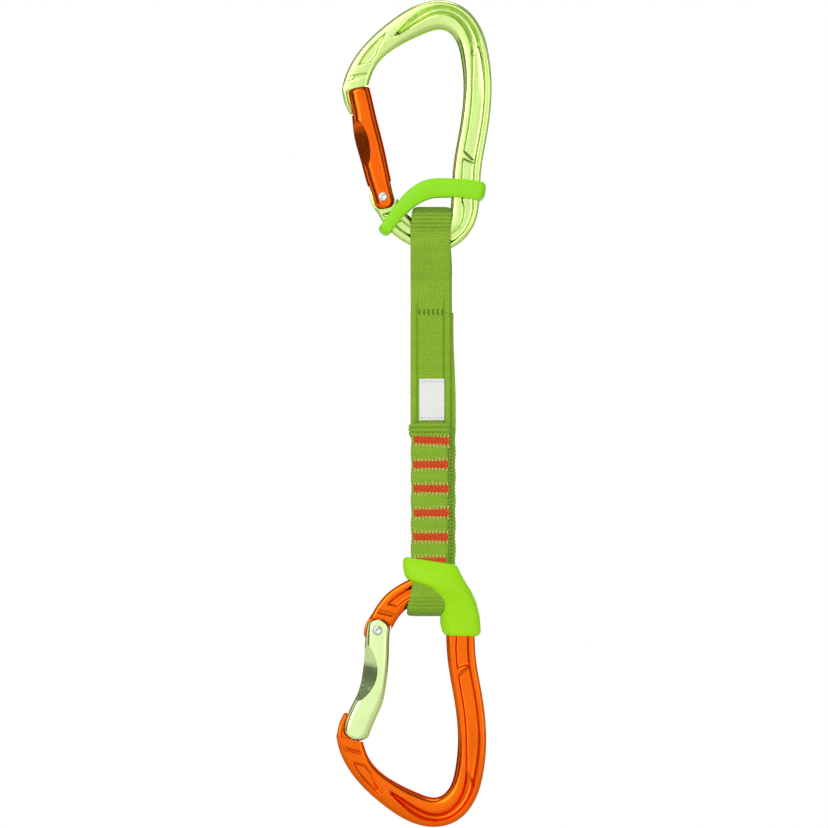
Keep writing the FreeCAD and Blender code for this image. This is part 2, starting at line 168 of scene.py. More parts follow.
class QuickdrawSling(bpy.types.PropertyGroup):
    """Sizes of the webbing and its sewing, in millimetres."""
    width: size("Width", 16.0, "Webbing's width")
    thickness: size("Thickness", 2.1, "Webbing's thickness")
    thread: size("Thread", 0.52, "Diameter of the bar tack thread")
    tack_block: size("Tack block", 2.9, "Height of a bar tack's satin block")
    tack_tooth: size("Tack tooth", 1.6, "How far the end stitches stand out of the tack")
    tooth_pitch: size("Tooth pitch", 1.35, "From one end stitch to the next")


class QuickdrawColours(bpy.types.PropertyGroup):
    """Colours of the finishes."""
    lime_frame: colour("Upper frame", 0xCDE88C, "Pale lime anodising")
    orange_frame: colour("Lower frame", 0xF66A08, "Orange anodising")
    orange_gate: colour("Upper gate", 0xF26408, "Orange anodising")
    green_gate: colour("Lower gate", 0xE0F8AE, "Pale green anodising")
    steel: colour("Steel", 0xC9C8C4, "Rivets, plungers and springs")
    webbing: colour("Webbing", 0x90BA2C, "Dyed polyamide")
    # painted shade: the webbing's colour is drawn towards this one in the hollows between its yarns and where the
    # shade attribute marks it
    webbing_painted_shade: colour("Webbing shade", 0x4F7A10, "Between the yarns")
    tack: colour("Bar tack thread", 0xF25008, "Orange polyester")
    tack_ends: colour("Bar tack ends", 0xF2D282, "Tan polyester")
    marker: colour("Marker thread", 0x3C5A14, "Dark green polyester")
    label: colour("Label", 0xE9E9E7, "White woven ribbon")
    band: colour("Keeper band", 0x90E010, "Green elastomer")
    boot: colour("Keeper boot", 0x9FE200, "Lime rubber")


GROUPS = {
    "quickdraw_forging": QuickdrawForging,
    "quickdraw_sling": QuickdrawSling,
    "quickdraw_colours": QuickdrawColours,
}


# ------------------------------------------------------------------ node materials
def add(tree, kind, inputs=None, **settings):
    """Adds a node with its settings, and links or fills its inputs."""
    made = tree.nodes.new(kind)
    for name, value in settings.items():
        setattr(made, name, value)
    for socket, value in (inputs or {}).items():
        if isinstance(value, bpy.types.NodeSocket):
            tree.links.new(value, made.inputs[socket])
        else:
            made.inputs[socket].default_value = value
    return made


def new_material(name):
    """A material with an empty node tree, and the tree."""
    made = bpy.data.materials.new(name)
    made.use_nodes = True
    made.node_tree.nodes.clear()
    return made, made.node_tree


def darker(tint, share):
    """The tint's colour at a share of its brightness."""
    return [channel * share for channel in tint[:3]] + [1.0]


def anodised_aluminium(name, tint, edge, roughness):
    """Forged aluminium, tumbled, then dyed anodic film: a clear, slightly soft metal shine,
    faintly uneven dye, and hairline rub marks on the touched faces."""
    material, tree = new_material(name)
    place = add(tree, "ShaderNodeTexCoord").outputs["Object"]
    # dye takes a little unevenly over a few millimetres
    patches = add(tree, "ShaderNodeTexNoise", {"Vector": place, "Scale": 140.0, "Detail": 3.0})
    dye = add(tree, "ShaderNodeMix", {6: darker(tint, 0.82), 7: list(tint),
              0: patches.outputs["Fac"]}, data_type="RGBA")
    # tumbling leaves a 0.3 mm orange peel, drawn at 0.5 mm so that it shows
    peel = add(tree, "ShaderNodeTexNoise", {"Vector": place, "Scale": 2000.0, "Detail": 2.0})
    # rub marks run along the hanging direction, 0.25 mm apart and 8 mm long
    stretch = add(tree, "ShaderNodeMapping", {"Vector": place, "Scale": (4000.0, 4000.0, 120.0)})
    rubs = add(tree, "ShaderNodeTexNoise", {"Vector": stretch.outputs["Vector"], "Scale": 1.0,
               "Detail": 4.0})
    rub_lines = add(tree, "ShaderNodeMapRange", {"Value": rubs.outputs["Fac"],
                    "From Min": 0.35, "From Max": 0.75,
                    "To Min": roughness - 0.05, "To Max": roughness + 0.10})
    bump = add(tree, "ShaderNodeBump", {"Height": peel.outputs["Fac"], "Strength": 0.10,
               "Distance": 0.06 * MM})
    metal = add(tree, "ShaderNodeBsdfPrincipled", {
        "Base Color": dye.outputs[2], "Metallic": 1.0,
        "Roughness": rub_lines.outputs["Result"], "Normal": bump.outputs["Normal"],
        "Specular Tint": list(edge), "Coat Weight": 0.08, "Coat Roughness": 0.12})
    add(tree, "ShaderNodeOutputMaterial", {"Surface": metal.outputs["BSDF"]})
    return material


def turned_steel(name, tint, roughness):
    """Stainless steel, turned or drawn: grey, with fine rings from the tool."""
    material, tree = new_material(name)
    place = add(tree, "ShaderNodeTexCoord").outputs["Object"]
    rings = add(tree, "ShaderNodeTexNoise", {"Vector": place, "Scale": 3000.0, "Detail": 3.0})
    worn = add(tree, "ShaderNodeMapRange", {"Value": rings.outputs["Fac"],
               "To Min": roughness - 0.08, "To Max": roughness + 0.12})
    bump = add(tree, "ShaderNodeBump", {"Height": rings.outputs["Fac"], "Strength": 0.15,
               "Distance": 0.04 * MM})
    metal = add(tree, "ShaderNodeBsdfPrincipled", {
        "Base Color": list(tint), "Metallic": 1.0, "Roughness": worn.outputs["Result"],
        "Normal": bump.outputs["Normal"]})
    add(tree, "ShaderNodeOutputMaterial", {"Surface": metal.outputs["BSDF"]})
    return material


def moulded_rubber(name, tint, roughness, sheen):
    """Moulded rubber: even colour right through, soft highlights, a fine spark-eroded skin."""
    material, tree = new_material(name)
    place = add(tree, "ShaderNodeTexCoord").outputs["Object"]
    clouds = add(tree, "ShaderNodeTexNoise", {"Vector": place, "Scale": 90.0, "Detail": 4.0})
    body = add(tree, "ShaderNodeMix", {6: darker(tint, 0.86), 7: list(tint),
               0: clouds.outputs["Fac"]}, data_type="RGBA")
    # the mould's spark-eroded texture, 0.3 mm, drawn at 0.45 mm so that it shows
    skin_grain = add(tree, "ShaderNodeTexNoise", {"Vector": place, "Scale": 2200.0,
                     "Detail": 3.0})
    bump = add(tree, "ShaderNodeBump", {"Height": skin_grain.outputs["Fac"], "Strength": 0.18,
               "Distance": 0.08 * MM})
    dull = add(tree, "ShaderNodeMapRange", {"Value": clouds.outputs["Fac"],
               "To Min": roughness - 0.05, "To Max": roughness + 0.08})
    rubber = add(tree, "ShaderNodeBsdfPrincipled", {
        "Base Color": body.outputs[2], "Roughness": dull.outputs["Result"], "IOR": 1.5,
        "Normal": bump.outputs["Normal"], "Sheen Weight": sheen, "Sheen Roughness": 0.4,
        "Specular IOR Level": 0.22})
    add(tree, "ShaderNodeOutputMaterial", {"Surface": rubber.outputs["BSDF"]})
    return material


def woven_polyamide(name, tint, shade, yarn):
    """Flat woven webbing: warp yarns in upright columns that dive under a weft rib in turn,
    so neighbouring columns are half a step apart. Matt, with a faint fibre sheen."""
    material, tree = new_material(name)
    cloth = add(tree, "ShaderNodeUVMap", uv_map="cloth").outputs["UV"]
    split = add(tree, "ShaderNodeSeparateXYZ", {"Vector": cloth})
    fibres_at = add(tree, "ShaderNodeMapping", {"Vector": cloth, "Scale": (9000.0, 1500.0, 1.0)})
    fibres = add(tree, "ShaderNodeTexNoise", {"Vector": fibres_at.outputs["Vector"],
                 "Scale": 1.0, "Detail": 3.0})
    slubs_at = add(tree, "ShaderNodeMapping", {"Vector": cloth, "Scale": (60.0, 260.0, 1.0)})
    slubs = add(tree, "ShaderNodeTexNoise", {"Vector": slubs_at.outputs["Vector"],
                "Scale": 1.0, "Detail": 4.0})
    mark = add(tree, "ShaderNodeAttribute", attribute_name="shade")
    # cloth coordinates are metres across and along; a yarn column is 0.55 mm on the real one,
    # drawn wider so that it shows
    known = {"x": split.outputs["X"], "y": split.outputs["Y"], "mark": mark.outputs["Fac"],
             "fibres": fibres.outputs["Fac"], "slubs": slubs.outputs["Fac"]}
    # one arithmetic step a row: its result, the operation, and numbers or earlier results
    for result, operation, *terms in (
            ("column", "MULTIPLY", "x", 1 / (yarn * MM)),
            ("row", "MULTIPLY", "y", 1 / (yarn * 1.25 * MM)),
            ("column_number", "FLOOR", "column"),
            ("stagger", "MULTIPLY", "column_number", 0.5),
            ("staggered_row", "ADD", "row", "stagger"),
            ("row_turn", "MULTIPLY", "staggered_row", math.tau),
            ("wave", "SINE", "row_turn"),
            ("rise", "MULTIPLY_ADD", "wave", 0.5, 0.5),
            ("column_turn", "MULTIPLY", "column", math.pi),
            ("swing", "SINE", "column_turn"),
            ("arch", "ABSOLUTE", "swing"),
            ("round_yarn", "POWER", "arch", 0.6),
            ("dive", "MULTIPLY_ADD", "rise", 0.65, 0.35),
            ("height", "MULTIPLY", "round_yarn", "dive"),
            ("relief", "MULTIPLY_ADD", "fibres", 0.25, "height"),
            ("lightness", "MULTIPLY_ADD", "mark", -0.55, "relief"),
            ("fading", "MULTIPLY_ADD", "slubs", 0.30, 0.86)):
        terms = {number: known.get(term, term) for number, term in enumerate(terms)}
        known[result] = add(tree, "ShaderNodeMath", terms, operation=operation).outputs[0]
    # painted shade: the lower the yarn relief, and the more the shade attribute marks a place, the nearer its
    # colour comes to the shade colour
    lit = add(tree, "ShaderNodeMapRange", {"Value": known["lightness"], "From Min": -0.15,
              "From Max": 0.80})
    dye_and_painted_shade = add(tree, "ShaderNodeMix", {0: lit.outputs["Result"], 6: list(shade),
               7: list(tint)}, data_type="RGBA")
    faded = add(tree, "ShaderNodeHueSaturation", {"Color": dye_and_painted_shade.outputs[2],
                "Value": known["fading"]})
    bump = add(tree, "ShaderNodeBump", {"Height": known["relief"], "Strength": 0.75,
               "Distance": 0.22 * MM})
    fabric = add(tree, "ShaderNodeBsdfPrincipled", {
        "Base Color": faded.outputs["Color"], "Roughness": 0.72,
        "Normal": bump.outputs["Normal"], "Sheen Weight": 0.12, "Sheen Roughness": 0.5,
        "Specular IOR Level": 0.2})
    add(tree, "ShaderNodeOutputMaterial", {"Surface": fabric.outputs["BSDF"]})
    return material


def twisted_thread(name, tint):
    """Filament sewing thread: glossy on each ply, with painted shade in the grooves where the plies wind together.
    """
    material, tree = new_material(name)
    place = add(tree, "ShaderNodeTexCoord").outputs["Object"]
    turned = add(tree, "ShaderNodeMapping", {"Vector": place, "Rotation": (0.0, 0.6, 0.0)})
    # plies cross the thread every 0.35 mm, drawn at 0.45 mm so that they show
    plies = add(tree, "ShaderNodeTexWave", {"Vector": turned.outputs["Vector"], "Scale": 350.0,
                "Distortion": 1.0, "Detail": 2.0}, bands_direction="Z")
    # painted shade: the colour darkens in the grooves between the plies
    strand = add(tree, "ShaderNodeMix", {6: darker(tint, 0.45), 7: list(tint),
                 0: plies.outputs["Fac"]}, data_type="RGBA")
    bump = add(tree, "ShaderNodeBump", {"Height": plies.outputs["Fac"], "Strength": 0.5,
               "Distance": 0.08 * MM})
    thread = add(tree, "ShaderNodeBsdfPrincipled", {
        "Base Color": strand.outputs[2], "Roughness": 0.45, "Normal": bump.outputs["Normal"],
        "Sheen Weight": 0.1, "Sheen Roughness": 0.35, "Specular IOR Level": 0.3})
    add(tree, "ShaderNodeOutputMaterial", {"Surface": thread.outputs["BSDF"]})
    return material


def woven_ribbon(name, tint):
    """Satin-woven label ribbon: close, flat, with threads just visible across it."""
    material, tree = new_material(name)
    place = add(tree, "ShaderNodeTexCoord").outputs["Object"]
    # threads are 0.15 mm apart, drawn at 0.45 mm so that they show
    picks, warps = (
        add(tree, "ShaderNodeTexWave", {"Vector": place, "Scale": scale, "Distortion": 0.4},
            bands_direction=way) for scale, way in ((350.0, "Z"), (420.0, "X")))
    cross = add(tree, "ShaderNodeMath", {0: picks.outputs["Fac"], 1: warps.outputs["Fac"]},
                operation="MULTIPLY").outputs[0]
    share = add(tree, "ShaderNodeMath", {0: cross, 1: 0.5, 2: 0.5}, operation="MULTIPLY_ADD")
    shade = add(tree, "ShaderNodeMix", {6: darker(tint, 0.78), 7: list(tint),
                0: share.outputs[0]}, data_type="RGBA")
    bump = add(tree, "ShaderNodeBump", {"Height": cross, "Strength": 0.25,
               "Distance": 0.06 * MM})
    ribbon = add(tree, "ShaderNodeBsdfPrincipled", {
        "Base Color": shade.outputs[2], "Roughness": 0.6, "Normal": bump.outputs["Normal"],
        "Sheen Weight": 0.2, "Sheen Roughness": 0.5})
    add(tree, "ShaderNodeOutputMaterial", {"Surface": ribbon.outputs["BSDF"]})
    return material


# ------------------------------------------------------------------ mesh helpers
def smooth_curve(points):
    """Natural cubic spline through points of any dimension, by distance along them."""
    spots = np.array(points, float)
    count = len(spots)
    knots = np.concatenate([[0], np.cumsum(np.linalg.norm(np.diff(spots, axis=0), axis=1))])
    gaps = np.diff(knots)
    rows = np.zeros((count, count))
    pull = np.zeros_like(spots)
    rows[0, 0] = rows[-1, -1] = 1
    for i in range(1, count - 1):
        rows[i, i - 1:i + 2] = gaps[i - 1], 2 * (gaps[i - 1] + gaps[i]), gaps[i]
        ahead, behind = spots[i + 1] - spots[i], spots[i] - spots[i - 1]
        pull[i] = 6 * (ahead / gaps[i] - behind / gaps[i - 1])
    bends = np.linalg.solve(rows, pull)

    def value(at):
        i = min(max(int(np.searchsorted(knots, at)) - 1, 0), count - 2)
        a, b = (knots[i + 1] - at) / gaps[i], (at - knots[i]) / gaps[i]
        curve = (a ** 3 - a) * bends[i] + (b ** 3 - b) * bends[i + 1]
        return a * spots[i] + b * spots[i + 1] + curve * gaps[i] ** 2 / 6

    return value, knots


def ease(value, low, high):
    """0 below low, 1 above high, with a smooth turn between."""
    share = min(max((value - low) / (high - low), 0.0), 1.0)
    return share * share * (3 - 2 * share)


def swell(value, grow_from, grow_to, fade_from, fade_to):
    """Grows smoothly from 0 to 1, stays there, and fades back to 0."""
    return ease(value, grow_from, grow_to) * (1 - ease(value, fade_from, fade_to))


def along_table(at, table):
    """Straight-line reading of a short table of (place, value, ...) rows."""
    places = [row[0] for row in table]
    return [float(np.interp(at, places, [row[k] for row in table]))
            for k in range(1, len(table[0]))]


def skin(rings, closed=False):
    """A bmesh skin over rings of points in millimetres: a loop of edges, extruded ring by ring."""
    bm = bmesh.new()
    bm.verts.layers.float.new("shade")
    first = bmesh.ops.create_circle(bm, segments=len(rings[0]), radius=1.0)["verts"]
    loop, rows = list(first), [list(first)]
    edges = list(bm.edges)
    start_edges = list(edges)
    for vert, point in zip(loop, rings[0]):
        vert.co = Vector(point) * MM
    for ring in rings[1:]:
        made = bmesh.ops.extrude_edge_only(bm, edges=edges)["geom"]
        fresh = {part for part in made if isinstance(part, bmesh.types.BMVert)}
        twins = []
        for vert, point in zip(loop, ring):
            twin = next(e.other_vert(vert) for e in vert.link_edges
                        if e.other_vert(vert) in fresh)
            twin.co = Vector(point) * MM
            twins.append(twin)
        edges = [part for part in made if isinstance(part, bmesh.types.BMEdge)
                 and part.verts[0] in fresh and part.verts[1] in fresh]
        loop = twins
        rows.append(loop)
    if closed:
        bmesh.ops.bridge_loops(bm, edges=start_edges + edges)
    else:
        bmesh.ops.edgeloop_fill(bm, edges=start_edges)
        bmesh.ops.edgeloop_fill(bm, edges=edges)
    bmesh.ops.recalc_face_normals(bm, faces=bm.faces)
    return bm, rows


def to_object(bm, name, material, sharp=None):
    """Closes the bmesh into an object with smooth faces, and sharp edges past an angle."""
    mesh = bpy.data.meshes.new(name)
    bm.to_mesh(mesh)
    bm.free()
    made = bpy.data.objects.new(name, mesh)
    bpy.context.scene.collection.objects.link(made)
    mesh.materials.append(material)
    mesh.shade_smooth()
    if sharp:
        mesh.set_sharp_from_angle(angle=math.radians(sharp))
    return made


def settle(piece, sharp=None):
    """Applies a piece's modifiers, so that its final mesh is what rides."""
    bpy.context.view_layer.update()
    seen = piece.evaluated_get(bpy.context.evaluated_depsgraph_get())
    mesh = bpy.data.meshes.new_from_object(seen)
    old = piece.data
    piece.modifiers.clear()
    piece.data = mesh
    mesh.name = piece.name
    bpy.data.meshes.remove(old)
    mesh.shade_smooth()
    if sharp:
        mesh.set_sharp_from_angle(angle=math.radians(sharp))
    return piece


def subdivide(piece):
    made = piece.modifiers.new("Smooth", "SUBSURF")
    made.levels = made.render_levels = 1


def carve(piece, cutters, sharp):
    """Takes each cutter object's space out of the piece, and removes the cutters."""
    for cutter in cutters:
        made = piece.modifiers.new("Cut", "BOOLEAN")
        made.object = cutter
        made.operation = "DIFFERENCE"
        made.solver = "EXACT"
    settle(piece, sharp=sharp)
    for cutter in cutters:
        bpy.data.objects.remove(cutter)


def plate(outline, half, name, material, bevel):
    """A flat plate in the XZ plane, half to front and back, with softened edges."""
    bm = bmesh.new()
    verts = [bm.verts.new(Vector((x, -half, z)) * MM) for x, z in outline]
    face = bmesh.ops.contextual_create(bm, geom=verts)["faces"]
    grown = bmesh.ops.extrude_face_region(bm, geom=face)["geom"]
    moved = [part for part in grown if isinstance(part, bmesh.types.BMVert)]
    bmesh.ops.translate(bm, verts=moved, vec=Vector((0, 2 * half, 0)) * MM)
    bmesh.ops.recalc_face_normals(bm, faces=bm.faces)
    if bevel:
        rims = [e for e in bm.edges if abs(e.verts[0].co.y - e.verts[1].co.y) < 1e-9]
        bmesh.ops.bevel(bm, geom=rims, offset=bevel * MM, segments=3, profile=0.5,
                        affect="EDGES", material=-1)
    return to_object(bm, name, material, sharp=40)


def box_cutter(low, high, place):
    """A block for a Boolean, in the gate's own directions."""
    bm = bmesh.new()
    bmesh.ops.create_cube(bm, size=1.0)
    low, high = Vector(low), Vector(high)
    for vert in bm.verts:
        local = Vector((low[k] + (high[k] - low[k]) * (vert.co[k] + 0.5) for k in range(3)))
        vert.co = place @ local * MM
    return to_object(bm, "cutter", bpy.data.materials[0])


# ------------------------------------------------------------------ carabiner frames
SEAT_LIFT = 5.85             # bar's centreline above the hanger seat
CENTRE_WIDTH = 49.15         # of the bar's centreline
CENTRE_HEIGHT = 89.75
# Share of that width and height, and the bar's width: nose, bow, spine, basket, arm.
FRAME_STATIONS = [
    (-0.706, 0.366, 9.6),
    (-0.687, 0.314, 10.0), (-0.617, 0.218, 9.2), (-0.503, 0.142, 9.2), (-0.346, 0.076, 10.45),
    (-0.180, 0.025, 11.7), (0.0, 0.0, 11.7), (0.120, 0.018, 11.7), (0.226, 0.082, 11.3),
    (0.285, 0.191, 11.3), (0.305, 0.310, 11.3), (0.263, 0.544, 11.3), (0.220, 0.689, 11.3),
    (0.203, 0.840, 11.3), (0.163, 0.925, 10.85), (0.065, 0.979, 10.85), (-0.061, 1.0, 10.4),
    (-0.204, 0.976, 9.8), (-0.326, 0.930, 9.8), (-0.420, 0.858, 9.8), (-0.464, 0.8095, 9.8),
]
RING_STEP = 0.36             # from one ring of the bar to the next
GATE_LENGTH = 44.73
MOUTH_RADIUS = GATE_LENGTH + 0.15    # the frame is cut back to these round the rivet
HINGE_RADIUS = 5.6
CUTTER_REACH = 6.0           # to front and back, past the forging's faces
GATE_TILT = math.radians(-13.08)
FRAME_SHARP = 50             # edges past this many degrees stay sharp
GATE_SHARP = 26
ALONG = Vector((math.sin(GATE_TILT), 0, math.cos(GATE_TILT)))
ACROSS = Vector((math.cos(GATE_TILT), 0, -math.sin(GATE_TILT)))

# Recess edges: distance along the bar from the nose, inner edge, outer edge.
SHOULDER_RECESS = [(6.0, -2.1, 2.1), (15.3, -2.1, 2.4), (24.3, 2.2, 2.5)]
LONG_RECESS = [
    (25.0, -0.95, -0.65), (28.2, -1.4, 0.3), (33.0, -1.4, 1.5), (38.0, -0.9, 2.8),
    (42.5, -0.2, 3.6), (46.5, 0.2, 4.0), (50.0, 0.3, 4.0), (55.0, -0.2, 3.8),
    (62.0, -0.8, 3.6), (67.4, -1.4, 3.4), (72.0, -2.1, 3.4), (80.0, -2.9, 3.4),
    (104.0, -2.9, 3.3), (112.0, -2.7, 3.2), (120.0, -2.5, 3.4), (128.5, -1.7, 3.6),
    (131.0, -0.8, 3.8), (138.0, 0.0, 4.3), (144.0, -0.6, 3.7), (152.0, -1.4, 2.7),
    (160.0, -2.0, 2.1), (167.5, -2.2, 2.2),
]
RECESSES_PART = 24.8         # the shoulder's recess ends and the long one begins
BOW_DISH = 0.45              # the bow's floor is hollow
BOW_SINK = 0.45              # and sinks deeper by this share, up to a slanting step
WALL_WIDTH = 0.95            # draft of the recess walls
CROWN = 0.10                 # the face's two edges fall away by this
# Where the bow and the basket, which carry rope and sling, begin and end along the bar.
BOW = (18, 36, 70, 92)
BASKET = (128, 140, 160, 170)
# Lines that cross the face: place along the bar at its outer edge, at its inner edge.
SHOULDER_START = (5.2, 13.4)
BOW_STEP = (64.0, 73.0)
RIB_LOW = (113.4, 107.6)
RIB_HIGH = (112.9, 110.7)
RECESS_END = (168.8, 164.6)
LINE_SOFT = 0.35             # a line's wall is twice this wide
# Grooves across the face: at the outer edge, at the inner edge, depth.
GROOVES = [(1.2, 6.6, 0.75), (171.9, 169.3, 0.6)]


def slanted(across, at_outer, at_inner, width=8.0):
    """Place along the bar of a line that crosses the face from outer to inner edge."""
    return (at_outer + at_inner) / 2 + (at_outer - at_inner) * across / width


def recess_depth(along, across, sizes):
    """Depth of the forged recess's floor, without its long walls."""
    if along < RECESSES_PART:
        low = slanted(across, *SHOULDER_START)
        return sizes.relief * 0.75 * ease(along, low, low + 0.7)
    deep = sizes.relief * ease(along, 25.0, 29.0)
    step = slanted(across, *BOW_STEP)
    deep *= 1.0 + BOW_SINK * (1 - ease(along, step - LINE_SOFT, step + LINE_SOFT))
    rib_low = slanted(across, *RIB_LOW)
    rib_high = slanted(across, *RIB_HIGH)
    if across < 2.0:
        deep *= 1 - swell(along, rib_low - LINE_SOFT, rib_low + LINE_SOFT,
                          rib_high + 0.2, rib_high + 0.9)
    stop = slanted(across, *RECESS_END)
    return deep * (1 - ease(along, stop - 0.4, stop + 0.4))


def groove_depth(along, across):
    """Depth of the parting grooves that cross the face near the nose and the hinge."""
    return sum(depth * (1 - ease(abs(along - slanted(across, outer, inner)), 0.2, 1.05))
               for outer, inner, depth in GROOVES)


def bar_section(along, width, sizes):
    """One ring of the bar: (across, depth) points from the inner side round to the outer side."""
    half = sizes.depth / 2
    bow = swell(along, *BOW)
    basket = swell(along, *BASKET)
    inner_round = sizes.edge + 0.5 + (sizes.rope_edge - sizes.edge - 0.5) * max(bow, 0.6 * basket)
    low, high = -width / 2 + inner_round, width / 2 - sizes.edge
    table = SHOULDER_RECESS if along < RECESSES_PART else LONG_RECESS
    inner, outer = along_table(along, table)
    inner, outer = max(inner, low + 0.25), min(outer, high - 0.25)
    wall = min(WALL_WIDTH, (outer - inner) * 0.32)
    narrow = ease(outer - inner, 0.1, 1.5)
    floor_low, floor_high = inner + wall, outer - wall
    face = [(across, 0.0) for across in np.linspace(low, inner, 5)[1:]]
    face += [(inner + wall * 0.35, 0.22), (inner + wall * 0.72, 0.80)]
    face += [(across, 1.0) for across in np.linspace(floor_low, floor_high, 7)]
    face += [(outer - wall * 0.72, 0.80), (outer - wall * 0.35, 0.22)]
    face += [(across, 0.0) for across in np.linspace(outer, high, 5)[:-1]]
    front = [(-width / 2, 0.0), (-width / 2, (half - inner_round) * 0.55)]
    for step in range(8):
        turn = math.pi / 2 * step / 7
        front.append((-width / 2 + inner_round * (1 - math.cos(turn)),
                      half - CROWN - (inner_round - CROWN) * (1 - math.sin(turn))))
    for across, share in face:
        sunk = recess_depth(along, across, sizes) * share * narrow
        sunk += CROWN * (abs(2 * across - low - high) / (high - low)) ** 2.5
        if share == 1.0 and floor_high - floor_low > 0.5:
            hollow = (across - floor_low) * (floor_high - across) * 4
            sunk += BOW_DISH * bow * hollow / (floor_high - floor_low) ** 2
        front.append((float(across), half - max(sunk, groove_depth(along, across))))
    for step in range(7):
        turn = math.pi / 2 * (1 - step / 6)
        front.append((width / 2 - sizes.edge * (1 - math.cos(turn)),
                      half - CROWN - (sizes.edge - CROWN) * (1 - math.sin(turn))))
    front.append((width / 2, (half - sizes.edge) * 0.55))
    back = [(across, -depth) for across, depth in reversed(front)]
    return front + [(width / 2, 0.0)] + back[:-1]


def frame_rings(sizes):
    """Rings of the frame in the upper carabiner's place, from nose to hinge."""
    points = [(a * CENTRE_WIDTH, SEAT_LIFT - d * CENTRE_HEIGHT, w) for a, d, w in FRAME_STATIONS]
    value, knots = smooth_curve(points)
    spots = np.array([value(at) for at in np.linspace(0, knots[-1], 3000)])
    steps = np.linalg.norm(np.diff(spots[:, :2], axis=0), axis=1)
    lengths = np.concatenate([[0], np.cumsum(steps)])
    lead = float(np.linalg.norm(np.array(points[1][:2]) - np.array(points[0][:2])))
    rings = []
    for place in np.linspace(0, lengths[-1], int(lengths[-1] / RING_STEP)):
        x, z, width = (float(np.interp(place, lengths, spots[:, k])) for k in range(3))
        ahead, behind = ([float(np.interp(place + off, lengths, spots[:, k])) for k in range(2)]
                         for off in (0.3, -0.3))
        way = Vector((ahead[0] - behind[0], 0, ahead[1] - behind[1])).normalized()
        side = Vector((-way.z, 0, way.x))
        ring = []
        for across, depth in bar_section(place - lead, width, sizes):
            point = Vector((x, 0, z)) + side * across
            ring.append((point.x, -depth, point.z))
        rings.append(ring)
    return rings


def on_gate(along, across):
    """(x, z) of a point in the shut gate's directions, from the rivet."""
    point = RIVET + ALONG * along + ACROSS * across
    return point.x, point.z


def outline(corners, count, closed=False):
    """Smooth outline through corners given in the gate's directions."""
    value, knots = smooth_curve(corners + corners[:1] if closed else corners)
    return [on_gate(*value(at)) for at in np.linspace(0, knots[-1], count + closed)[:count]]


TONGUE = [(47.6, -5.0), (45.6, -5.4), (41.6, -5.8), (38.0, -5.5), (35.8, -4.9), (35.0, -4.2),
          (34.9, -2.6), (35.4, -1.2), (37.6, 0.7), (40.2, 0.5), (43.0, -0.4), (44.95, 0.2),
          (45.05, 3.6), (47.6, 4.4)]
# The cheek outside the gate's tip: along, across, width, depth.
GUARD = [(50.0, -1.2, 3.2, 7.2), (49.1, -1.9, 3.3, 7.5), (48.0, -3.1, 3.3, 7.6),
         (47.0, -4.0, 3.0, 7.7), (45.9, -4.7, 2.6, 7.7), (44.6, -5.25, 2.1, 7.7),
         (42.0, -5.6, 1.8, 7.4), (39.8, -5.6, 1.75, 6.6), (38.0, -5.3, 1.7, 5.6),
         (36.3, -4.95, 1.65, 4.6), (34.9, -4.7, 1.5, 3.9)]
HINGE_TAB = [(-9.0, -2.2), (-4.5, -4.2), (-1.6, -5.1), (1.2, -5.25), (3.5, -4.6), (4.3, -2.6),
             (4.3, 0.0), (3.8, 2.3), (1.6, 3.9), (-2.0, 4.4), (-5.5, 4.9), (-9.0, 5.4)]


def guard_rings():
    """The thin cheek that runs down outside the gate's tip and ends in a round point."""
    value, knots = smooth_curve(GUARD)
    length = knots[-1]
    rings = []
    for place in list(np.linspace(0, length - 1.4, 40)) + [length - d for d in (
            1.1, 0.8, 0.55, 0.35, 0.2, 0.1, 0.03)]:
        along, across, width, depth = value(place)
        close = closing(length - place, 1.2, 2.0)
        ring = []
        for side, out in rounded_box(width * (0.1 + 0.9 * close), depth * (0.45 + 0.55 * close),
                                     0.85):
            x, z = on_gate(along, across + side)
            ring.append((x, out, z))
        rings.append(ring)
    return rings


def mouth_cutter():
    """Takes the frame's cheek back to an arc that the gate's tip swings past."""
    start, side, steps = 30.0, 9.0, 32
    corners = [on_gate(start, -side)]
    for step in range(steps + 1):
        across = side * (2 * step / steps - 1)
        corners.append(on_gate(math.sqrt(MOUTH_RADIUS ** 2 - across ** 2), across))
    corners.append(on_gate(start, side))
    return plate(corners, CUTTER_REACH, "cutter", bpy.data.materials[0], 0)


def hinge_cutter():
    """Makes room on the frame round the gate's butt."""
    bm = bmesh.new()
    bmesh.ops.create_cone(bm, cap_ends=True, segments=72, radius1=HINGE_RADIUS * MM,
                          radius2=HINGE_RADIUS * MM, depth=2 * CUTTER_REACH * MM)
    bmesh.ops.rotate(bm, verts=bm.verts, matrix=Matrix.Rotation(math.pi / 2, 3, "X"))
    bmesh.ops.translate(bm, verts=bm.verts, vec=RIVET * MM)
    return to_object(bm, "cutter", bpy.data.materials[0])


def make_carabiner_frame(which, material, body):
    """The bar's skin, cut back at mouth and hinge, and its nose tongue, guard and hinge tab."""
    sizes = bpy.context.scene.quickdraw_forging
    bm, _ = skin(frame_rings(sizes))
    made = to_object(bm, which + "_forged_frame", material)
    carve(made, [mouth_cutter(), hinge_cutter()], FRAME_SHARP)
    tongue = plate(outline(TONGUE, 40), sizes.tongue / 2, which + "_nose_tongue", material, 0)
    guard = to_object(skin(guard_rings())[0], which + "_nose_guard", material, sharp=60)
    tab = plate(outline(HINGE_TAB, 48), sizes.tongue / 2, which + "_hinge_tab", material, 0.3)
    pieces = [made, tongue, guard, tab]
    for piece in pieces:
        if which == "lower":
            piece.data.transform(TURN_OVER)
        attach(piece, body)
    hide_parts(which + "_frame")
    return pieces


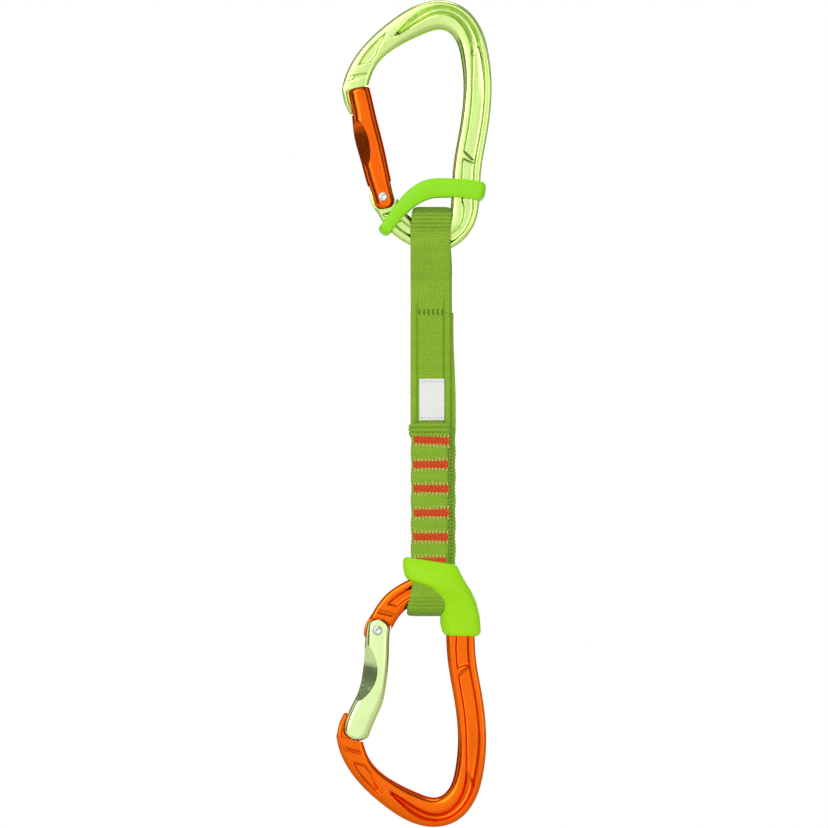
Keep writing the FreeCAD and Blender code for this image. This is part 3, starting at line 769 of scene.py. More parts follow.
# ------------------------------------------------------------------ gates
SLOT_ROOM = 0.25             # between the tongue or tab and the sides of its slot
NOSE_SLOT_FROM = 34.3        # along the gate, open at its tip
NOSE_SLOT_IN = 1.15          # across the gate: its inner wall, open on the outer side
FORK_TO = 5.3                # along the gate, open at its butt
FACE_ROUND = 1.2             # the faces curve in over this much of both ends
# Rings near both ends, where they curve most: distances from the end.
END_RINGS = [0.02, 0.1, 0.25, 0.5, 0.8, 1.2, 1.7, 2.3, 3.0, 3.8, 4.8]
# Share of the gate's length, offset inwards, width as a share of the gate's.
STRAIGHT_GATE = [
    (-0.108, 0.0, 0.96), (0.0, 0.1, 0.98), (0.18, -0.2, 1.05), (0.36, -0.25, 1.10),
    (0.60, -0.45, 1.12), (0.75, -0.1, 1.02), (0.88, 0.0, 1.0), (1.0, 0.1, 0.97),
]
BENT_GATE = [
    (-0.108, 0.1, 1.04), (0.0, 0.25, 1.04), (0.19, 1.75, 1.04), (0.36, 2.9, 1.06),
    (0.48, 3.35, 1.08), (0.61, 3.2, 1.14), (0.745, 1.98, 1.17), (0.885, 0.97, 1.17),
    (1.0, 0.84, 1.12),
]


def closing(distance, radius, power):
    """Share of the full width at a distance from a rounded end."""
    return max(1 - (1 - min(distance / radius, 1.0)) ** power, 0.0) ** (1 / power)


def rounded_box(width, depth, radius):
    """Ring of (across, depth) points: a rectangle with round corners."""
    radius = min(radius, width / 2 - 0.01, depth / 2 - 0.01)
    flat_x, flat_y = width / 2 - radius, depth / 2 - radius
    ring = []
    for corner, (sx, sy) in enumerate(((1, 1), (-1, 1), (-1, -1), (1, -1))):
        for step in range(11):
            turn = math.pi / 2 * (corner + step / 10)
            ring.append((sx * flat_x + radius * math.cos(turn),
                         sy * flat_y + radius * math.sin(turn)))
        next_x, next_y = ((-1, 1), (-1, -1), (1, -1), (1, 1))[corner]
        for share in (0.2, 0.4, 0.6, 0.8):
            end = ring[-1]
            goal = ((next_x * flat_x, end[1]) if corner % 2 == 0 else (end[0], next_y * flat_y))
            ring.append((end[0] + (goal[0] - end[0]) * share,
                         end[1] + (goal[1] - end[1]) * share))
    return ring


def scoop_cutter(along, across, lean, radius, side, place):
    """A thumb scoop: a wide cylinder laid across the gate, leaning towards its outer side."""
    bm = bmesh.new()
    bmesh.ops.create_cone(bm, cap_ends=True, segments=128, radius1=radius * MM,
                          radius2=radius * MM, depth=40 * MM)
    normal = Vector((-math.sin(lean), side * math.cos(lean), 0))
    axis = Vector((math.cos(lean), side * math.sin(lean), 0))
    turn = Matrix((normal, axis.cross(normal), axis)).transposed().to_4x4()
    half = bpy.context.scene.quickdraw_forging.depth / 2
    centre = Vector((across, side * half, along)) + normal * radius
    bm.transform(Matrix.Translation(centre * MM) @ turn)
    bm.transform(Matrix.Translation(RIVET * MM) @ place.to_3x3().to_4x4())
    return to_object(bm, "cutter", bpy.data.materials[0])


def make_gate(which, shape, rounding, ends, scoop, material, body):
    """A gate: its skin swept from butt to tip, then the thumb scoops, nose slot and fork."""
    sizes = bpy.context.scene.quickdraw_forging
    value, knots = smooth_curve([(s * GATE_LENGTH, o, w * sizes.gate_width)
                                 for s, o, w in shape])
    length = knots[-1]
    (butt, butt_power), (tip, tip_power) = ends
    places = END_RINGS + list(np.linspace(6, length - 6, 60))
    places += [length - distance for distance in reversed(END_RINGS)]
    rings = []
    for place in places:
        along, offset, width = value(place)
        behind, ahead = value(max(place - 0.2, 0)), value(min(place + 0.2, length))
        way = Vector((ahead[0] - behind[0], ahead[1] - behind[1])).normalized()
        plan = closing(place, butt, butt_power) * closing(length - place, tip, tip_power)
        drop = FACE_ROUND * (1 - closing(min(place, length - place), FACE_ROUND, 2.0))
        ring = []
        for across, depth in rounded_box(width * plan, sizes.depth - 2 * drop, rounding):
            x, z = on_gate(along - way.y * across, offset + way.x * across)
            ring.append((x, depth, z))
        rings.append(ring)
    bm, _ = skin(rings)
    made = to_object(bm, which + "_forged_gate", material)
    place = gate_place()
    slot = sizes.tongue / 2 + SLOT_ROOM
    scoops = [scoop_cutter(*scoop, side, place) for side in (-1, 1)]
    carve(made, scoops + [
        box_cutter((-20, -slot, NOSE_SLOT_FROM), (NOSE_SLOT_IN, slot, 60), place),
        box_cutter((-20, -slot, -20), (20, slot, FORK_TO), place),
    ], GATE_SHARP)
    if which == "lower":
        made.data.transform(TURN_OVER)
    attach(made, body)
    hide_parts(which + "_gate")
    return made


def gate_place():
    """The shut gate's directions (across, depth, along) from the rivet, in millimetres."""
    directions = Matrix((ACROSS, Vector((0, 1, 0)), ALONG)).transposed().to_4x4()
    return Matrix.Translation(RIVET) @ directions


def make_rivet(which, material, body):
    """A hinge rivet by spinning its profile: domed heads with a ring round a dimple."""
    profile = [(0.0, -4.30), (0.55, -4.32), (0.85, -4.52), (1.35, -4.50), (1.75, -4.30),
               (1.9, -4.02), (1.5, -3.9), (1.5, 3.9), (1.9, 4.02), (1.75, 4.30), (1.35, 4.50),
               (0.85, 4.52), (0.55, 4.32), (0.0, 4.30)]
    bm = bmesh.new()
    verts = [bm.verts.new(Vector((radius, depth, 0)) * MM) for radius, depth in profile]
    edges = [bm.edges.new(pair) for pair in zip(verts, verts[1:])]
    bmesh.ops.spin(bm, geom=verts + edges, cent=(0, 0, 0), axis=(0, 1, 0), dvec=(0, 0, 0),
                   angle=math.tau, steps=40, use_merge=True)
    bmesh.ops.remove_doubles(bm, verts=bm.verts, dist=1e-6)
    bmesh.ops.recalc_face_normals(bm, faces=bm.faces)
    bmesh.ops.translate(bm, verts=bm.verts, vec=RIVET * MM)
    made = to_object(bm, which + "_hinge_rivet", material, sharp=50)
    if which == "lower":
        made.data.transform(TURN_OVER)
    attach(made, body)
    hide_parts(which + "_gate_rivet")
    return made


# ------------------------------------------------------------------ webbing
# painted shade in the hollows between tall ribs; RIB_SHADE sets how dark it is
RIB_SHADE = 3.0              # how dark the hollows between tall ribs are
RIB_SAMPLE = 0.25            # from one ring of the webbing to the next
RIBBON_POINTS = 30           # steps across each face of the webbing
PATH_STEP = 0.5              # between the points of a webbing's path
STAY_LINE_IN = 2.7           # stay lines' distance from the webbing's edges
LAYER_MIDDLE = 1.1           # each of the two layers' middle, to front and back


def ribbon_rings(path, left, width, sizes, look):
    """Rings of webbing along (y, z) points. left, width and look are functions of a place's
    (y, z); look gives the weft ribs' height and pitch, the stay lines' depth and the shade."""
    spots = np.array(path, float)
    steps = np.linalg.norm(np.diff(spots, axis=0), axis=1)
    lengths = np.concatenate([[0], np.cumsum(steps)])
    rings, marks, turn = [], [], 0.0
    places = np.linspace(0, lengths[-1], int(lengths[-1] / RIB_SAMPLE) + 1)
    for place in places:
        y, z = (float(np.interp(place, lengths, spots[:, k])) for k in range(2))
        low, high = max(place - 0.4, 0), min(place + 0.4, lengths[-1])
        way = Vector([float(np.interp(high, lengths, spots[:, k]) -
                            np.interp(low, lengths, spots[:, k])) for k in range(2)]).normalized()
        out = Vector((way.y, -way.x))
        span, start = width(y, z), left(y, z)
        rib_height, pitch, stay, shade = look(y, z)
        turn += math.tau * (places[1] - places[0]) / pitch
        rib = math.sin(turn)
        ring, row = [], []
        for side in (1, -1):
            for step in range(RIBBON_POINTS + 1):
                share = step / RIBBON_POINTS if side == 1 else 1 - step / RIBBON_POINTS
                edge = abs(2 * share - 1)
                thick = sizes.thickness / 2 * max(1 - edge ** 7, 0.0) ** 0.5
                line = math.exp(-((abs(edge * span / 2) - (span / 2 - STAY_LINE_IN)) / 0.30) ** 2)
                thick += rib_height * rib * (1 - 0.4 * edge) - 0.45 * stay * line
                across = start + span * share
                across += 0.6 * rib_height * rib * (2 * share - 1) * edge ** 6
                point = Vector((y, z)) + out * side * max(thick, 0.12)
                ring.append((across, point.x, point.y))
                # painted shade on the cloth: the look's shade at a fold, darker in the stay-line grooves and in
                # the hollows between tall ribs
                dark = shade + 0.8 * stay * line + RIB_SHADE * max(-rib, 0) * rib_height
                row.append(((start + span * share) * MM, place * MM, min(dark, 1.0)))
        rings.append(ring)
        marks.append(row)
    return rings, marks


def cloth_map(bm, rows, marks):
    """Cloth coordinates, metres across and along, on face corners; shade on the points."""
    cloth = {}
    shade = bm.verts.layers.float["shade"]
    for row, mark_row in zip(rows, marks):
        for vert, mark in zip(row, mark_row):
            cloth[vert] = mark[:2]
            vert[shade] = mark[2]
    layer = bm.loops.layers.uv.new("cloth")
    for face in bm.faces:
        for corner in face.loops:
            corner[layer].uv = cloth[corner.vert]


def make_webbing(name, path, left, width, material, look):
    """A length of webbing along a path, with its cloth coordinates."""
    rings, marks = ribbon_rings(path, left, width, bpy.context.scene.quickdraw_sling, look)
    bm, rows = skin(rings)
    cloth_map(bm, rows, marks)
    made = to_object(bm, name, material, sharp=60)
    return made


def smooth_path(points):
    """Points every PATH_STEP along a smooth curve."""
    value, knots = smooth_curve(points)
    count = max(int(knots[-1] / PATH_STEP), 2)
    return [tuple(value(at)) for at in np.linspace(0, knots[-1], count)]


SEAM_Z = TWIST_Z - 6.4       # the loop's webbing meets the next length under the marker row
LAP_SEAM_Z = HEM_HIGH.z - 2.2


def upper_loop_path():
    """Down the back from the seam, over the fold and up the front, as (y, z)."""
    fold = EYE_HIGH.z - 1.1
    side = [(LAYER_MIDDLE, SEAM_Z), (LAYER_MIDDLE, SEAM_Z + 3), (1.12, TWIST_Z + 1.5),
            (1.9, TWIST_Z + 7.5), (3.9, TWIST_Z + 13.5), (5.3, TWIST_Z + 19.5),
            (5.4, TWIST_Z + 25.0), (5.35, fold - 4.6), (3.9, fold - 1.45)]
    return smooth_path(side + [(0.0, fold)] + [(-y, z) for y, z in reversed(side)])


def lower_loop_path():
    """From inside the boot down the back, round the lower fold and up the front."""
    fold = LOWER_EYE_LOW.z + 1.1
    side = [(LAYER_MIDDLE, MOUTH_Z - 4.4), (1.5, MOUTH_Z - 6.2), (3.2, MOUTH_Z - 8.4),
            (5.0, MOUTH_Z - 10.8), (5.4, MOUTH_Z - 14.0), (5.4, fold + 6.0), (4.0, fold + 1.5)]
    return smooth_path(side + [(0.0, fold)] + [(-y, z) for y, z in reversed(side)])


def straight_path(y, high, low):
    count = int((high - low) / PATH_STEP)
    return [(y, high + (low - high) * step / count) for step in range(count + 1)]


def free_look(y, z):
    """Free webbing: fine ribs, stay lines; strong ribs and shade at the upper fold."""
    drop = EYE_HIGH.z - z
    near_fold = swell(drop, 2.2, 3.2, 8.5, 11.0)
    stay = ease(-z, 104, 112)
    return (0.05 + 0.20 * near_fold, 1.15 + 0.35 * near_fold, stay,
            0.75 * (1 - ease(drop, 2.0, 4.2)))


def sewn_look(y, z):
    """Under layers of the sewn length: strong knobbly ribs."""
    return 0.20, 1.5, 0.0, 0.0


def lap_look(y, z):
    """The lap: flat between the tacks, rolled rows in the hem."""
    hem = ease(z, HEM_LOW.z - 0.8, HEM_LOW.z + 0.4)
    return 0.05 + 0.28 * hem, 1.15 + 0.45 * hem, 0.0, 0.0


def lower_look(y, z):
    """Lower eye: three rows of strong ribs above the fold, which has painted shade."""
    rise = z - LOWER_EYE_LOW.z
    near_fold = swell(rise, 2.6, 3.4, 7.5, 9.0)
    return (0.06 + 0.17 * near_fold, 1.15 + 0.35 * near_fold, 0.0,
            0.7 * (1 - ease(rise, 2.2, 3.6)))


def tack_pinch(z):
    """1 in a bar tack, 0 half way to the next: the stitching draws the webbing in."""
    middle = [(low.z + high.z) / 2 for low, high in TACKS]
    nearest = min(abs(z - m) for m in middle)
    return 1 - ease(nearest, 0.6, 4.2)


# ------------------------------------------------------------------ sewing
TACK_END_THREAD = 0.60       # diameters
LABEL_THREAD = 0.26
MARKER_THREAD = 0.42
LABEL_THICKNESS = 0.3
LABEL_STITCHES = 7           # in each of the label's two rows
LABEL_PITCH = 1.35           # from one stitch to the next
LABEL_STITCH = 0.95          # a stitch's length
LABEL_HEM = 1.1              # from the label's ends to its stitches
MARKER_STITCHES = 6
MARKER_PITCH = 1.8
MARKER_DEPTH = -2.15         # the webbing's front face


def thread_object(name, runs, diameter, material):
    """Thread laid along runs of points in millimetres, as one mesh."""
    data = bpy.data.curves.new(name, "CURVE")
    data.dimensions = "3D"
    data.bevel_depth = diameter / 2 * MM
    data.bevel_resolution = 2
    data.resolution_u = 3
    data.use_fill_caps = True
    for run in runs:
        spline = data.splines.new("NURBS")
        spline.points.add(len(run) - 1)
        for point, spot in zip(spline.points, run):
            point.co = (*(Vector(spot) * MM), 1.0)
        spline.order_u = 3
        spline.use_endpoint_u = True
    shape = bpy.data.objects.new(name, data)
    bpy.context.scene.collection.objects.link(shape)
    bpy.context.view_layer.update()
    mesh = bpy.data.meshes.new_from_object(
        shape.evaluated_get(bpy.context.evaluated_depsgraph_get()))
    bpy.data.objects.remove(shape)
    made = bpy.data.objects.new(name, mesh)
    bpy.context.scene.collection.objects.link(made)
    mesh.materials.clear()
    mesh.materials.append(material)
    mesh.shade_smooth()
    return made


def tack_runs(low, high, face, outward, sizes, lean, wobble):
    """Satin block of a bar tack as one zigzag, and the short stitches beyond both its sides."""
    count = int((high.x - low.x) / (sizes.thread * 0.86))
    pitch = (high.x - low.x) / count
    middle = (low.z + high.z) / 2
    over = face + outward * sizes.thread * 0.42
    under = face - outward * sizes.thread * 0.6
    run = []
    for number in range(count + 1):
        x = low.x + pitch * number
        centre = middle + lean * (x - (low.x + high.x) / 2)
        ragged = 0.14 * math.sin(number * 2.3 + wobble)
        reach = (sizes.tack_block / 2 + ragged) * (1 if number % 2 else -1)
        run += [(x - pitch * 0.3, under, centre - reach),
                (x - pitch * 0.2, over, centre - reach * 0.86), (x, over, centre),
                (x + pitch * 0.2, over, centre + reach * 0.86),
                (x + pitch * 0.3, under, centre + reach)]
    ends = []
    teeth = int((high.x - low.x) / sizes.tooth_pitch)
    for side in (-1, 1):
        for number in range(teeth):
            x = low.x + 0.5 + (high.x - low.x - 0.8) * number / (teeth - 1)
            centre = middle + lean * (x - (low.x + high.x) / 2)
            start = centre + side * (sizes.tack_block / 2 - 0.30)
            tip = start + side * (sizes.tack_tooth + 0.18 * math.sin(number * 3.1 + wobble))
            slope = 0.22 * math.sin(wobble)
            ends.append([(x, under, start), (x, over, start + side * 0.2),
                         (x + slope, over - outward * 0.06, tip - side * 0.3),
                         (x + slope, under, tip)])
    return run, ends


# ------------------------------------------------------------------ keepers
# Band's centreline from the arm to the spine: x, z and width, in millimetres.
BAND_LINE = [(-21.6, -79.4, 5.0), (-18.3, -75.0, 5.2), (-15.2, -71.3, 5.7), (-12.0, -68.0, 6.5),
             (-8.0, -65.2, 7.3), (-4.0, -63.6, 7.7), (0.0, -63.2, 7.7), (6.0, -63.3, 7.5),
             (11.0, -63.7, 7.5), (15.6, -64.5, 7.6)]
# Boot's slices from its mouth down the spine: left edge x and z, right edge x and z, half depth.
BOOT_SLICES = [
    (-13.8, -210.7, 6.0, -213.7, 4.9), (-14.6, -211.4, 6.8, -214.2, 5.4),
    (-14.9, -212.6, 7.4, -215.1, 6.1), (-14.8, -215.0, 8.3, -216.9, 7.0),
    (-14.3, -217.6, 9.3, -218.9, 7.6), (-13.2, -219.5, 10.3, -220.6, 7.9),
    (-11.4, -220.6, 11.2, -222.0, 8.0), (-8.9, -221.4, 12.1, -223.4, 8.0),
    (-6.2, -222.6, 12.9, -224.9, 7.9), (-4.0, -224.3, 13.6, -226.4, 7.6),
    (-2.1, -226.9, 14.5, -228.6, 7.0), (-0.7, -229.9, 15.2, -231.1, 6.3),
    (-0.05, -232.8, 15.7, -233.4, 5.9), (0.0, -236.0, 16.1, -236.3, 5.6),
    (0.4, -239.0, 16.3, -239.3, 5.5), (1.1, -240.9, 16.1, -241.3, 5.4),
    (1.9, -241.9, 15.4, -242.2, 5.1),
]


def band_rings():
    """Rings round the closed band: front strand, round the spine, back strand, round the arm."""
    value, knots = smooth_curve(BAND_LINE)
    stand = 4.95             # strands' middle from the forging's middle
    hook = 1.9               # how far the ends reach past the line's ends
    rings = []
    spots = [(at, -90.0) for at in np.linspace(0, knots[-1], 60)]
    spots += [(knots[-1], turn) for turn in np.linspace(-78, 78, 14)]
    spots += [(at, 90.0) for at in np.linspace(knots[-1], 0, 60)]
    spots += [(0.0, turn) for turn in np.linspace(102, 258, 14)]
    for at, turn in spots:
        x, z, width = value(at)
        behind, ahead = value(max(at - 0.3, 0)), value(min(at + 0.3, knots[-1]))
        way = Vector((ahead[0] - behind[0], 0, ahead[1] - behind[1])).normalized()
        up = Vector((-way.z, 0, way.x))
        angle = math.radians(turn)
        centre = Vector((x, 0, z)) + way * math.cos(angle) * hook
        centre.y = math.sin(angle) * stand
        out = (way * math.cos(angle) + Vector((0, math.sin(angle), 0))).normalized()
        bulge = 1.0 + 0.10 * abs(math.cos(angle))
        ring = []
        for step in range(20):
            spin = math.tau * step / 20
            c, s = math.cos(spin), math.sin(spin)
            rise = math.copysign(abs(c) ** 0.72, c) * width / 2 * bulge
            thick = math.copysign(abs(s) ** 0.85, s) * 0.78
            thick *= 1.35 if s > 0 else 0.85
            # where the band turns round a bar its edges draw in, so that the end looks round
            thick -= 1.3 * abs(math.cos(angle)) * (1 - math.sqrt(max(1 - abs(c) ** 1.44, 0)))
            ring.append(tuple(centre + up * rise + out * thick))
        rings.append(ring)
    return rings


def boot_ring(slice_at, power, shrink=0.0, sink=0.0):
    """A slice of the boot, tilted so that it meets both side outlines square."""
    left, left_z, right, right_z, half = slice_at
    ring = []
    for step in range(56):
        turn = math.tau * step / 56
        c, s = math.cos(turn), math.sin(turn)
        share = 0.5 + math.copysign(abs(c) ** (2 / power), c) * (
            0.5 - shrink / (right - left))
        y = math.copysign(abs(s) ** (2 / power), s) * (half - shrink)
        ring.append((left + (right - left) * share, y,
                     left_z + (right_z - left_z) * share + sink))
    return ring


def boot_rings():
    """Rings from inside the boot's mouth, over its rolled rim and down to its foot."""
    value, knots = smooth_curve(BOOT_SLICES)
    mouth, foot = value(0.0), value(knots[-1])
    rings = [boot_ring(mouth, 4.0, shrink, sink)
             for shrink, sink in ((1.75, -4.0), (1.75, -0.6), (1.45, -0.1), (0.8, 0.1),
                                  (0.3, 0.0))]
    for at in np.linspace(0, knots[-1], 60)[1:]:
        slice_at = value(at)
        power = 4.0 - 1.2 * ease(at, 8, 24)
        rings.append(boot_ring(slice_at, power))
    rings += [boot_ring(foot, 2.8, shrink, sink)
              for shrink, sink in ((0.35, -0.22), (0.9, -0.28), (1.1, 0.2), (1.1, 2.0))]
    return rings


# ------------------------------------------------------------------ operators
class QUICKDRAW_OT_stage(bpy.types.Operator):
    """Camera, soft studio light, white surround and a pale floor"""
    bl_idname = "quickdraw.stage"
    bl_label = "Stage"

    def execute(self, context):
        scene = context.scene
        scene.view_settings.view_transform = "Standard"
        scene.view_settings.look = "None"
        lens = bpy.data.cameras.new("main_view")
        lens.sensor_width = 36.0
        lens.lens = lens.sensor_width * VIEW_DISTANCE / VIEW_FIELD
        lens.clip_end = 20.0
        camera = bpy.data.objects.new("main_view", lens)
        camera.location = VIEW_AIM + Vector((0, -VIEW_DISTANCE, 0))
        camera.rotation_euler = (math.pi / 2, 0, 0)
        scene.collection.objects.link(camera)
        scene.camera = camera
        self.floor(CAD_BOX[0].z - FLOOR_DROP)
        for name, place, width, power in LIGHTS:
            self.soft_light(scene, name, Vector(place), width, power)
        self.surround(scene)
        return {"FINISHED"}

    def floor(self, height):
        bm = bmesh.new()
        bmesh.ops.create_grid(bm, x_segments=1, y_segments=1, size=FLOOR_HALF)
        bmesh.ops.translate(bm, verts=bm.verts, vec=(0, 0, height))
        material, tree = new_material("studio_paper")
        place = add(tree, "ShaderNodeTexCoord").outputs["Object"]
        grain = add(tree, "ShaderNodeTexNoise", {"Vector": place, "Scale": 40.0})
        tone = add(tree, "ShaderNodeMix", {6: linear(0xECECEA), 7: linear(0xF6F6F4),
                   0: grain.outputs["Fac"]}, data_type="RGBA")
        paper = add(tree, "ShaderNodeBsdfPrincipled", {"Base Color": tone.outputs[2],
                    "Roughness": 0.9})
        add(tree, "ShaderNodeOutputMaterial", {"Surface": paper.outputs["BSDF"]})
        to_object(bm, "studio_floor", material)

    def soft_light(self, scene, name, place, width, power):
        data = bpy.data.lights.new(name, "AREA")
        data.shape = "DISK"
        data.size = width
        data.energy = power
        made = bpy.data.objects.new(name, data)
        made.location = place
        made.rotation_euler = (VIEW_AIM - place).to_track_quat("-Z", "Y").to_euler()
        scene.collection.objects.link(made)

    def surround(self, scene):
        """White to the eye; for reflections, bright before, behind and square to the side,
        with dark cards between them."""
        world = bpy.data.worlds.new("studio")
        world.use_nodes = True
        scene.world = world
        tree = world.node_tree
        tree.nodes.clear()
        way = add(tree, "ShaderNodeTexCoord").outputs["Generated"]
        split = add(tree, "ShaderNodeSeparateXYZ", {"Vector": way})
        facing = add(tree, "ShaderNodeMath", {0: split.outputs["Y"]}, operation="ABSOLUTE")
        glow = 0.12
        # how far a direction faces front or back, from and to, and the glow at each
        for low, high, dim, bright in ((0.62, 0.93, 0.0, 1.0), (0.10, 0.34, 0.85, 0.0)):
            card = add(tree, "ShaderNodeMapRange", {
                "Value": facing.outputs[0], "From Min": low, "From Max": high, "To Min": dim,
                "To Max": bright}, interpolation_type="SMOOTHSTEP")
            glow = add(tree, "ShaderNodeMath", {0: card.outputs["Result"], 1: glow},
                       operation="ADD").outputs[0]
        studio = add(tree, "ShaderNodeBackground", {"Color": (1, 1, 1, 1), "Strength": glow})
        white = add(tree, "ShaderNodeBackground", {"Color": (1, 1, 1, 1), "Strength": 1.0})
        seen = add(tree, "ShaderNodeLightPath").outputs["Is Camera Ray"]
        both = add(tree, "ShaderNodeMixShader", {0: seen, 1: studio.outputs[0],
                   2: white.outputs[0]})
        add(tree, "ShaderNodeOutputWorld", {"Surface": both.outputs[0]})


class QUICKDRAW_OT_frames(bpy.types.Operator):
    """Both forged carabiner frames, with nose tongues, nose guards and hinge tabs"""
    bl_idname = "quickdraw.frames"
    bl_label = "Carabiner Frames"

    def execute(self, context):
        dyes = context.scene.quickdraw_colours
        lime = anodised_aluminium("lime_anodised_aluminium", dyes.lime_frame,
                                  GREEN_GLANCE, 0.20)
        orange = anodised_aluminium("orange_anodised_aluminium", dyes.orange_frame,
                                    ORANGE_GLANCE, 0.20)
        upper = make_carabiner_frame("upper", lime, "upper_carabiner")
        lower = make_carabiner_frame("lower", orange, "lower_carabiner")
        return {"FINISHED"}


class QUICKDRAW_OT_gates(bpy.types.Operator):
    """The straight upper gate and the bent lower gate"""
    bl_idname = "quickdraw.gates"
    bl_label = "Gates"

    def execute(self, context):
        dyes = context.scene.quickdraw_colours
        orange = anodised_aluminium("orange_gate_aluminium", dyes.orange_gate,
                                    ORANGE_GLANCE, 0.18)
        green = anodised_aluminium("green_gate_aluminium", dyes.green_gate,
                                   GREEN_GLANCE, 0.18)
        # scoop: along the gate, across it, lean towards the outer side, cutter's radius
        straight = make_gate("upper", STRAIGHT_GATE, 3.9, ((3.2, 2.6), (1.1, 2.5)),
                             (23.1, -0.4, math.radians(33), 42.0), orange, "upper_gate")
        bent = make_gate("lower", BENT_GATE, 2.7, ((4.4, 2.2), (3.8, 2.3)),
                         (18.6, 4.0, math.radians(30), 26.0), green, "lower_gate")
        return {"FINISHED"}


class QUICKDRAW_OT_rivets(bpy.types.Operator):
    """Hinge rivets, and the finish of the plungers and springs inside the gates"""
    bl_idname = "quickdraw.rivets"
    bl_label = "Rivets and Gate Works"

    def execute(self, context):
        dyes = context.scene.quickdraw_colours
        steel = turned_steel("turned_stainless_steel", dyes.steel, 0.30)
        wire = turned_steel("drawn_spring_wire", dyes.steel, 0.38)
        for which in ("upper", "lower"):
            rivet = make_rivet(which, steel, which + "_carabiner")
            for part, material in (("_gate_plunger", steel), ("_gate_spring", wire)):
                mesh = frame["nodes"][which + part].data
                mesh.materials.clear()
                mesh.materials.append(material)
        return {"FINISHED"}


class QUICKDRAW_OT_webbing(bpy.types.Operator):
    """The sling's webbing: eyes, free strands, and the sewn length with its lap and hem"""
    bl_idname = "quickdraw.webbing"
    bl_label = "Webbing"

    def execute(self, context):
        dyes = context.scene.quickdraw_colours
        cloth = woven_polyamide("woven_polyamide_webbing", dyes.webbing, dyes.webbing_painted_shade, 0.8)
        self.upper_loop(cloth)
        self.free_strands(cloth)
        self.sewn_length(cloth)
        self.lower_loop(cloth)
        return {"FINISHED"}

    def upper_loop(self, cloth):
        full = bpy.context.scene.quickdraw_sling.width

        def left(y, z):
            drift = (BACK_LOW.x - FRONT_LOW.x) * ease(y, -2, 4) * ease(-z, 76, 112)
            return FRONT_LOW.x + 0.1 + drift + (full - width(y, z)) / 2 + 0.5 * (
                1 - ease(EYE_HIGH.z - z, 3, 9))

        def width(y, z):
            return full - 0.9 * (1 - ease(EYE_HIGH.z - z, 0.8, 3.0))

        loop = make_webbing("webbing_upper_eye", upper_loop_path(), left, width, cloth,
                            free_look)
        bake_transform(loop, "upper_carabiner", "twisting_stretch",
                 start=(0, 0, (TWIST_Z + 14) * MM), end=(0, 0, (TWIST_Z - 4.5) * MM))
        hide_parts("sling_upper_eye")

    def free_strands(self, cloth):
        full = bpy.context.scene.quickdraw_sling.width
        for name, y, left, stands_for in (
                ("webbing_free_front", -LAYER_MIDDLE, FRONT_LOW.x + 0.1, "sling_front_strand"),
                ("webbing_free_back", LAYER_MIDDLE, BACK_LOW.x + 0.1, "sling_back_strand")):
            strand = make_webbing(
                name, straight_path(y, SEAM_Z, LAP_SEAM_Z),
                lambda y, z, at=left, out=float(y > 0): at + out * 0.9 * ease(
                    -z, 120, 150), lambda y, z: full, cloth, free_look)
            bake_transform(strand, "twisting_stretch", "sewn_sling",
                     start=(0, 0, (BEND_Z + 8) * MM), end=(0, 0, (BEND_Z - 8) * MM))
            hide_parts(stands_for, "sling_twisting_stretch")

    def sewn_length(self, cloth):
        full = bpy.context.scene.quickdraw_sling.width
        bottom = MOUTH_Z - 6.5

        def pinched(y, z):
            return full - 0.5 * tack_pinch(z)

        def lap_width(y, z):
            return 14.3 + 0.4 * (1 - tack_pinch(z)) + 1.5 * ease(z, HEM_LOW.z - 2, HEM_LOW.z)

        for name, y, left in (("webbing_sewn_front", -LAYER_MIDDLE, FRONT_LOW.x + 0.2),
                              ("webbing_sewn_back", LAYER_MIDDLE, BACK_LOW.x + 1.0)):
            layer = make_webbing(name, straight_path(y, LAP_SEAM_Z + 0.3, bottom),
                                 lambda y, z, at=left: at + 0.25 * tack_pinch(z),
                                 pinched, cloth, sewn_look)
            self.bend_at_mouth(layer)
        middle = (LAP_LOW.x + LAP_HIGH.x) / 2 + 0.75
        lap = make_webbing("webbing_lap", self.lap_path(bottom), lambda y, z: middle
                           - lap_width(y, z) / 2 - 0.2 * ease(z, HEM_LOW.z - 2, HEM_LOW.z),
                           lap_width, cloth, lap_look)
        self.bend_at_mouth(lap)
        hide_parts("sling_lap", "sling_lap_hem")

    def lower_loop(self, cloth):
        def left(y, z):
            return LOWER_EYE_LOW.x + 0.1 + 1.9 * ease(z, LOWER_EYE_LOW.z + 2, -222)

        lower = make_webbing("webbing_lower_eye", lower_loop_path(), left,
                             lambda y, z: 15.4 - 0.5 * (1 - ease(z - LOWER_EYE_LOW.z, 0.8, 3.0)),
                             cloth, lower_look)
        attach(lower, "lower_carabiner")
        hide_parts("sling_lower_eye")

    def bend_at_mouth(self, piece):
        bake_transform(piece, "sewn_sling", "lower_carabiner",
                 start=(0, 0, (MOUTH_Z + 2.3) * MM), end=(0, 0, (MOUTH_Z - 2.9) * MM))

    def lap_path(self, bottom):
        """Up the front of the sewn length, over the hem's top and back down inside it."""
        lower = [(-3.15 + 0.30 * tack_pinch(z), z)
                 for z in np.arange(bottom, HEM_LOW.z - 0.5, PATH_STEP)]
        top = HEM_HIGH.z - 1.1
        turn = [(-3.5, HEM_LOW.z + 0.8), (-3.75, HEM_LOW.z + 2.2), (-3.7, top - 0.6),
                (-3.45, top - 0.1), (-3.2, top), (-2.9, top - 0.15), (-2.7, top - 0.7),
                (-2.7, HEM_LOW.z + 1.4)]
        return lower + turn


